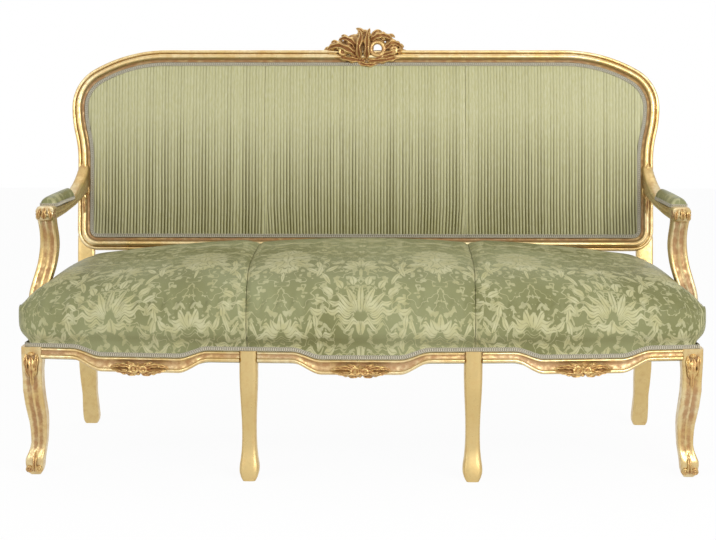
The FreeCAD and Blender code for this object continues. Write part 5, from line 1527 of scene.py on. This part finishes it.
def swelled(piece, pinned, pressure, cap, frames=20):  # stuffing pushes the cloth out from its edges
    mesh = piece.data
    before = meshPoints(mesh)
    group = piece.vertex_groups.new(name="Fixed")
    group.add([int(n) for n in pinned], 1.0, "REPLACE")
    cloth = piece.modifiers.new("Cloth", "CLOTH")
    cloth.settings.vertex_group_mass = "Fixed"
    cloth.settings.use_pressure = True
    cloth.settings.uniform_pressure_force = pressure
    cloth.settings.effector_weights.gravity = 0
    cloth.settings.tension_stiffness = cloth.settings.compression_stiffness = 30
    cloth.settings.quality = 5
    cloth.collision_settings.use_collision = False
    scene = bpy.context.scene
    for n in range(1, frames + 1):
        scene.frame_set(n)
    made = bpy.data.meshes.new_from_object(piece.evaluated_get(bpy.context.evaluated_depsgraph_get()))
    after = meshPoints(made)
    piece.modifiers.clear()
    piece.vertex_groups.clear()
    scene.frame_set(1)
    bpy.data.meshes.remove(made)
    if np.isnan(after).any():
        return
    shift = after - before
    long = np.linalg.norm(shift, axis=1, keepdims=True)
    shift *= np.minimum(1, cap / 1000 / np.maximum(long, 1e-9))
    setPoints(mesh, before + blurred(shift, meshEdges(mesh), 3))


def supportDent(points):  # the cloth is drawn in round the foot of each arm support
    x, y, z = points[:, 0] * 1000, points[:, 1] * 1000 - yShift, points[:, 2] * 1000
    inside = 1 - smooth(np.abs(y - 150), 34, 56)
    limit = 900 - inside * 97
    limit = np.where(z < 470, limit, 900)
    points[:, 0] = np.sign(x) * np.minimum(np.abs(x), limit) / 1000
    return points


def seatCovers():
    points, faces, uv, count = seatMesh()
    points = world(points)
    whole = makeMesh("seat_whole", points, faces, uv=uv)
    piece = addObject("seat_whole", whole)
    x = np.abs(meshPoints(whole)[:, 0] * 1000)
    pinned = np.where((np.arange(len(x)) < 4 * count) | (np.abs(x - layout["seamAt"]) < 7))[0]
    swelled(piece, pinned, seatForm["pressure"], seatForm["cap"])
    level = piece.modifiers.new("Smooth", "SUBSURF")
    level.levels = level.render_levels = 1
    made = bpy.data.meshes.new_from_object(piece.evaluated_get(bpy.context.evaluated_depsgraph_get()))
    bpy.data.objects.remove(piece)
    setPoints(made, supportDent(meshPoints(made)))
    seam = layout["seamAt"]
    for name, low, high, nodes in ((
        "seat_panel_centre", -seam, seam,
        ["seat_cover_centre", "seat_stuffing", "seat_hessian", "seat_webbing"],
    ),
                                   (
                                       "seat_panel_right", seam, 2000, ["seat_cover_right"],
                                   ), ("seat_panel_left", -2000, -seam, ["seat_cover_left"])):
        form = bmesh.new()
        form.from_mesh(made)
        for cut, way in ((low + 0.4, -1), (high - 0.4, 1)):
            if abs(cut) > 1000:
                continue
            for extra in (7.0, 3.5, 0.0):
                geometry = form.verts[:] + form.edges[:] + form.faces[:]
                bmesh.ops.bisect_plane(
                    form, geom=geometry, plane_co=((cut - way * extra) / 1000, 0, 0), plane_no=(way, 0, 0),
                    clear_outer=extra == 0.0,
                )
        form.normal_update()
        for vert in form.verts:
            away = min(abs(abs(vert.co.x * 1000) - seam), 60)
            sink = seatForm["seamDepth"] * math.exp(
                -((away / seatForm["seamWidth"]) ** 2),
            ) + 1.6 * math.exp(-((away / 26.0) ** 2))
            if vert.co.z > 0.33:
                vert.co -= vert.normal * Vector((0, 1, 1)) * sink / 1000
        mesh = bpy.data.meshes.new(name)
        form.to_mesh(mesh)
        form.free()
        mesh.polygons.foreach_set("use_smooth", [True] * len(mesh.polygons))
        panel = addObject(name, mesh)
        thick = panel.modifiers.new("Cloth", "SOLIDIFY")
        thick.thickness, thick.offset = 0.002, -1
        solid = bpy.data.meshes.new_from_object(panel.evaluated_get(bpy.context.evaluated_depsgraph_get()))
        panel.modifiers.clear()
        panel.data = solid
        settle(panel, seatDamask, nodes)


seatCovers()
print("seat covered")

# Gimp: a narrow ribbon with a looped cord worked along it

gimpForm = {"high": 2.0, "loop": 5.4}

gimpTool, gimpIn, gimpOut = nodeTool("Looped braid", [
    ("Pitch", "NodeSocketFloat", 0.0054), ("Loop", "NodeSocketFloat", 0.0042),
    ("Cord", "NodeSocketFloat", 0.001),
    ("Stretch", "NodeSocketFloat", 1.25), ("Braid", "NodeSocketMaterial", None)])


def fillGimp():
    tree = gimpTool
    line = addNode(tree, "GeometryNodeMeshToCurve", {"Mesh": gimpIn["Geometry"]}).outputs[0]
    even = tree.nodes.new("GeometryNodeResampleCurve")
    even.mode = "LENGTH"
    tree.links.new(line, even.inputs["Curve"])
    tree.links.new(gimpIn["Pitch"], even.inputs["Length"])
    loop = addNode(
        tree, "GeometryNodeCurvePrimitiveCircle", {"Resolution": 9, "Radius": gimpIn["Loop"]},
    ).outputs[0]
    cord = addNode(
        tree, "GeometryNodeCurvePrimitiveCircle", {"Resolution": 4, "Radius": gimpIn["Cord"]},
    ).outputs[0]
    ring = addNode(tree, "GeometryNodeCurveToMesh", {"Curve": loop, "Profile Curve": cord}).outputs[0]
    scale = addNode(tree, "ShaderNodeCombineXYZ", {0: 0.92, 1: gimpIn["Stretch"], 2: 1.0}).outputs[0]
    facing = addNode(
        tree, "GeometryNodeInputNamedAttribute", {"Name": "facing"}, data_type="FLOAT_VECTOR",
    ).outputs[0]
    tangent = tree.nodes.new("GeometryNodeInputTangent").outputs[0]
    up = addNode(tree, "FunctionNodeAlignRotationToVector", {"Vector": facing}, axis="Z").outputs[0]
    ahead = addNode(
        tree, "FunctionNodeAlignRotationToVector", {"Rotation": up, "Vector": tangent}, axis="X",
        pivot_axis="Z",
    ).outputs[0]
    knots = addNode(
        tree, "GeometryNodeInstanceOnPoints",
        {"Points": even.outputs[0], "Instance": ring, "Rotation": ahead, "Scale": scale},
    ).outputs[0]
    ended(tree, knots, gimpIn["Braid"], gimpOut)


fillGimp()


def gimpPiece(name, path, across, facing, nodes, wide=12.0, closed=False):
    path, across, facing = np.asarray(path), unit(np.asarray(across)), unit(np.asarray(facing))
    h, high = wide / 2, gimpForm["high"]
    section = np.array([(-h, -0.3), (-h, 0.9), (-h * 0.86, high), (
        -h * 0.62, high * 0.9,
    ), (-h * 0.5, high * 0.45), (h * 0.5, high * 0.45),
                        (h * 0.62, high * 0.9), (h * 0.86, high), (h, 0.9), (h, -0.3)]) / 1000
    rings = path[:, None] + across[:, None] * section[None, :, :1] + facing[:, None] * section[None, :, 1:]
    ribbon = makeMesh(name, *loft(rings, roundPath=closed), sharp=None)
    line = bpy.data.meshes.new(name + "_line")
    count = len(path)
    edges = [(n, (n + 1) % count) for n in range(count if closed else count - 1)]
    line.from_pydata((path + facing * 0.0011).tolist(), edges, [])
    line.attributes.new("facing", "FLOAT_VECTOR", "POINT").data.foreach_set(
        "vector", facing.astype(np.float32).ravel(),
    )
    piece = runTool(
        addObject(name, line), gimpTool, Pitch=gimpForm["loop"] / 1000, Loop=wide * 0.00035, Cord=0.00095,
        Braid=braidCloth,
    )
    # the ribbon gets recess 0.85, so the braid paints it dark between the loops: painted shade
    for mesh, value in ((piece.data, 0.0), (ribbon, 0.85)):
        mesh.attributes.new("recess", "FLOAT", "POINT").data.foreach_set(
            "value", np.full(len(mesh.vertices), value, np.float32),
        )
    form = bmesh.new()
    form.from_mesh(piece.data)
    form.from_mesh(ribbon)
    form.to_mesh(piece.data)
    form.free()
    bpy.data.meshes.remove(ribbon)
    piece.data.polygons.foreach_set("use_smooth", [True] * len(piece.data.polygons))
    if "facing" in piece.data.attributes:
        piece.data.attributes.remove(piece.data.attributes["facing"])
    return settle(piece, braidCloth, nodes)


def seatGimpPath(out):
    y = np.linspace(546.0, -12.0, 90)
    side = np.column_stack([sideX(y, out), y, layout["showTop"] - sweepDrop(y - 287.0, rail["topDrop"] / 2)])
    sideOut = np.tile((math.cos(0.063), math.sin(0.063), 0), (len(y), 1))
    x = np.linspace(826.0, -826.0, 330)
    drop = sweepDrop(np.minimum(np.abs(x), np.abs(np.abs(x) - rail["centre"])), rail["topDrop"])
    front = np.column_stack([x, bowY(x, out), layout["showTop"] - drop])
    frontOut = unit(np.column_stack([x, bowY(x) - layout["bowCentre"], 0 * x]))
    turn = np.linspace(0.15, 0.85, 4)[:, None]
    corner = np.column_stack([
        sideX(-16.0, out) - 9 + 9 * np.cos(turn * math.pi / 2), -11.0 - 10 * np.sin(turn * math.pi / 2),
        0 * turn + layout["showTop"],
    ])
    cornerOut = np.column_stack([np.cos(turn * math.pi / 2), -np.sin(turn * math.pi / 2), 0 * turn])
    flip = np.array((-1, 1, 1))
    path = np.concatenate([side, corner, front, corner[::-1] * flip, side[::-1] * flip])
    facing = np.concatenate([sideOut, cornerOut, frontOut, cornerOut[::-1] * flip, sideOut[::-1] * flip])
    return path + (0, 0, 6.6), facing


path, facing = seatGimpPath(-5.6)
gimpPiece("seat_braid", world(path), np.tile((0, 0, 1.0), (len(path), 1)), facing, ["seat_gimp"], 10.5)


def frameGimp(name, inset, height, way, nodes):
    points = edgePoints + edgeInward * inset
    w = height(points[:, 0], points[:, 1])
    path = leaned(points[:, 0], points[:, 1], w)
    inward = leaned(
        points[:, 0] + edgeInward[:, 0] * 4, points[:, 1] + edgeInward[:, 1] * 4,
        height(points[:, 0] + edgeInward[:, 0] * 4, points[:, 1] + edgeInward[:, 1] * 4),
    ) - path
    forward = leaned(points[:, 0], points[:, 1], w + way) - path
    facing = unit(forward) - unit(inward) * (unit(forward) * unit(inward)).sum(1, keepdims=True)
    gimpPiece(name, path, inward, facing, nodes, 9.5, closed=True)


frameGimp("back_braid", 40.2, lambda x, v: backHeight(x, v) + 0.2, 1.0, ["back_gimp"])
frameGimp("outside_braid", 18.8, lambda x, v: -2.6 + 0 * x, -1.0, ["outside_back_gimp"])
print("gimp worked")

# Arm pads

padForm = {"front": 205.0, "rear": 452.0, "base": 651.0, "rise": 7.0, "inset": 4.0}


def padLoop(grow, count=96):
    t = np.linspace(0, 2 * np.pi, count, endpoint=False)
    c, s = np.cos(t), np.sin(t)
    middle, half = (padForm["front"] + padForm["rear"]) / 2, (padForm["rear"] - padForm["front"]) / 2
    y = middle + (half + grow) * np.sign(s) * np.abs(s) ** 0.16
    x = np.sign(c) * np.abs(c) ** 0.34
    wide = armWide(y) / 2 - padForm["inset"] + grow
    return armOuter(y) - armWide(y) / 2 + x * wide, y, np.column_stack([c, s])


def armPad(side, way):
    rings, uv = [], []
    for grow, z in (
        (-3.0, -1.0), (0.0, 0.0), (1.6, 3.0), (2.3, 6.5), (2.3, 9.5), (1.0, 13.5), (-1.8, 17.5),
        (-5.6, 21.0), (-9.6, 23.4), (-13.2, 24.6),
    ):
        x, y = padLoop(grow)[:2]
        share = (y - padForm["front"]) / (padForm["rear"] - padForm["front"])
        rings.append(
            np.column_stack([x, y, padForm["base"] + z + padForm["rise"] * share * smooth(z, 4, 24)]),
        )
        uv.append(np.column_stack([x - 640, y]))
    rings = np.array(rings)
    points, faces = loft(world(rings) * (way, 1, 1), capped=False)
    count = rings.shape[1]
    last, middle = (len(rings) - 1) * count, count // 2
    shift = count // 4
    for base, turn in ((last, 1), (0, -1)):
        ring = [base + (n + shift) % count for n in range(count)]
        for n in range(middle):
            quad = [ring[n], ring[n + 1], ring[(count - n - 1) % count], ring[(count - n) % count]]
            quad = [q for k, q in enumerate(quad) if q not in quad[:k]]
            faces.append(quad[::turn])
    mesh = makeMesh(f"arm_pad_{side}", points, faces, uv=np.concatenate(uv))
    piece = addObject(f"arm_pad_{side}", mesh)
    swelled(piece, np.arange(count * 3), 3.0, 2.5)
    level = piece.modifiers.new("Smooth", "SUBSURF")
    level.levels = level.render_levels = 1
    made = bpy.data.meshes.new_from_object(piece.evaluated_get(bpy.context.evaluated_depsgraph_get()))
    piece.modifiers.clear()
    piece.data = made
    settle(piece, seatDamask, [f"arm_cover_{side}", f"arm_stuffing_{side}"])
    x, y, out = padLoop(2.4, 160)
    step = unit(np.column_stack([np.roll(x, -1) - np.roll(x, 1), np.roll(y, -1) - np.roll(y, 1)]))
    facing = np.column_stack([step[:, 1], -step[:, 0], 0 * x])
    facing = facing * np.sign((facing[:, :2] * out).sum(1, keepdims=True))
    path = world(np.column_stack([x, y, np.full(len(x), padForm["base"] + 5.2)])) * (way, 1, 1)
    gimpPiece(
        f"arm_braid_{side}", path, np.tile((0, 0, 1.0), (len(x), 1)), facing * (way, 1, 1),
        [f"arm_gimp_{side}"], 8.5, closed=True,
    )


armPad("right", 1)
armPad("left", -1)
print("arm pads made")

# Sheets of cloth


def clothSheet(name, top, under, material, nodes):
    rows, cols = top.shape[:2]
    shift = rows * cols
    points = np.concatenate([top.reshape(-1, 3), under.reshape(-1, 3)])
    faces = gridFaces(rows, cols) + [face[::-1] for face in gridFaces(rows, cols, start=shift)]
    rim = list(range(cols)) + [r * cols + cols - 1 for r in range(1, rows)]
    rim += [
        (rows - 1) * cols + c for c in range(cols - 2, -1, -1)
    ] + [r * cols for r in range(rows - 2, 0, -1)]
    faces += [
        [rim[(n + 1) % len(rim)], rim[n], rim[n] + shift, rim[(n + 1) % len(rim)] + shift]
        for n in range(len(rim))
    ]
    piece = settle(addObject(name, makeMesh(name, points, faces)), material, nodes)
    a, b = top[1:, 1:] - top[:-1, :-1], top[1:, :-1] - top[:-1, 1:]
    area = float(np.linalg.norm(np.cross(a, b), axis=-1).sum() / 2)
    print(name, "area", round(area, 4))


def outsideBack():
    lowLine, highLine, far = edgeLines(12.0)
    x = np.linspace(-far[0] + 1.0, far[0] - 1.0, 150)
    share = np.linspace(0, 1, 40)[:, None]
    low, high = lowLine(x), highLine(x)
    v = low + (high - low) * share
    xs = np.broadcast_to(x, v.shape)
    clothSheet(
        "outside_back", leaned(xs, v, -2.5), leaned(xs, v, -0.8), plainCloth,
        ["outside_back_cover"],
    )


def dustCloth():
    p = np.linspace(-1, 1, 161)
    x0 = p * 787.0
    front = bowY(x0) + 34.0
    front = np.where(np.abs(x0) > 752, 30.0, front)
    front = np.where(np.abs(np.abs(x0) - 275.0) < 27, float(bowY(275.0)) + 52.5, front)
    q = np.linspace(0, 1, 40)[:, None]
    y = front + (547.0 - front) * q
    x = p * (sideX(y) - 33.5) * np.where(y > 545.9, 0.975, 1.0)
    z = 297.2 - 4.0 * (1 - p**2) * np.sin(np.pi * q)
    clothSheet(
        "dust_cloth", world(np.stack([x, y, z], -1)), world(np.stack([x, y, z + 0.8], -1)), blackCloth,
        ["dust_cover"],
    )


outsideBack()
dustCloth()

# Hidden woodwork keeps its CAD form

for node in (
    "back_seat_rail", "seat_stretcher_left", "seat_stretcher_right", "corner_blocks", "back_muntin_left",
    "back_muntin_right",
):
    plain = frame["nodes"][node]
    plain.data.materials.clear()
    plain.data.materials.append(beech)

# Room, light and camera

studio = {
    "floorHalf": 9.0,
    "floor": (0.93, 0.93, 0.93),
    "worldLight": 0.5,
    "camera": (0.0735, -4.78595, 1.0645),
    "tilt": (90 - 6.97, 0.0, 1.04),
    "lens": 92.31,
    "lamps": [  # place, target, size, watts
        ((1.9, -3.6, 2.1), (0.1, 0, 0.6), (2.2, 1.4), 112.0),
        ((-2.4, -3.0, 2.2), (0, 0, 0.5), (1.6, 1.3), 32.0),
        ((0.0, 1.2, 3.4), (0, 0, 0.6), (3.0, 1.2), 14.0),
    ],
}


def pointAt(thing, target):
    way = Vector(target) - Vector(thing.location)
    thing.rotation_euler = way.to_track_quat("-Z", "Y").to_euler()


def buildRoom():
    h = studio["floorHalf"]
    floor = addObject(
        "floor", makeMesh("floor", [(-h, -h, 0), (h, -h, 0), (h, h, 0), (-h, h, 0)], [[0, 1, 2, 3]]),
    )
    material, tree, shader = newMaterial("Studio floor", Roughness=0.9, Specular_IOR_Level=0.2)
    shader.inputs["Base Color"].default_value = (*studio["floor"], 1)
    rays = tree.nodes.new("ShaderNodeLightPath")
    glow = addNode(tree, "ShaderNodeEmission", {"Color": (1, 1, 1, 1), "Strength": 1.0})
    seen = calc(tree, "MAXIMUM", rays.outputs["Is Glossy Ray"], rays.outputs["Is Transmission Ray"])
    mix = addNode(tree, "ShaderNodeMixShader", {
        0: calc(tree, "MAXIMUM", seen, calc(tree, "MULTIPLY", rays.outputs["Is Camera Ray"], 0.955)),
        1: shader.outputs[0], 2: glow.outputs[0]
    })
    tree.links.new(mix.outputs[0], tree.nodes["Material Output"].inputs[0])
    floor.data.materials.append(material)

    world = bpy.data.worlds.new("Studio")
    bpy.context.scene.world = world
    world.use_nodes = True
    tree = world.node_tree
    rays = tree.nodes.new("ShaderNodeLightPath")
    seen = calc(
        tree, "MAXIMUM",
        calc(tree, "MAXIMUM", rays.outputs["Is Camera Ray"], rays.outputs["Is Glossy Ray"]),
        rays.outputs["Is Transmission Ray"],
    )
    strength = fade(tree, seen, 0.0, 1.0, studio["worldLight"], 1.0)
    back = tree.nodes["Background"]
    back.inputs[0].default_value = (1, 1, 1, 1)
    tree.links.new(strength, back.inputs[1])

    for n, (spot, target, size, watts) in enumerate(studio["lamps"]):
        lamp = bpy.data.lights.new(f"softbox_{n}", "AREA")
        lamp.shape, lamp.size, lamp.size_y, lamp.energy = "RECTANGLE", size[0], size[1], watts
        holder = bpy.data.objects.new(f"softbox_{n}", lamp)
        bpy.context.scene.collection.objects.link(holder)
        holder.location = spot
        pointAt(holder, target)

    lens = bpy.data.cameras.new("camera")
    lens.lens, lens.sensor_width = studio["lens"], 36.0
    lens.clip_end = 60.0
    holder = bpy.data.objects.new("camera", lens)
    bpy.context.scene.collection.objects.link(holder)
    holder.location = studio["camera"]
    holder.rotation_euler = [math.radians(a) for a in studio["tilt"]]
    bpy.context.scene.camera = holder
    bpy.context.scene.view_settings.view_transform = "Standard"


buildRoom()
print("room, lamps and camera ready")
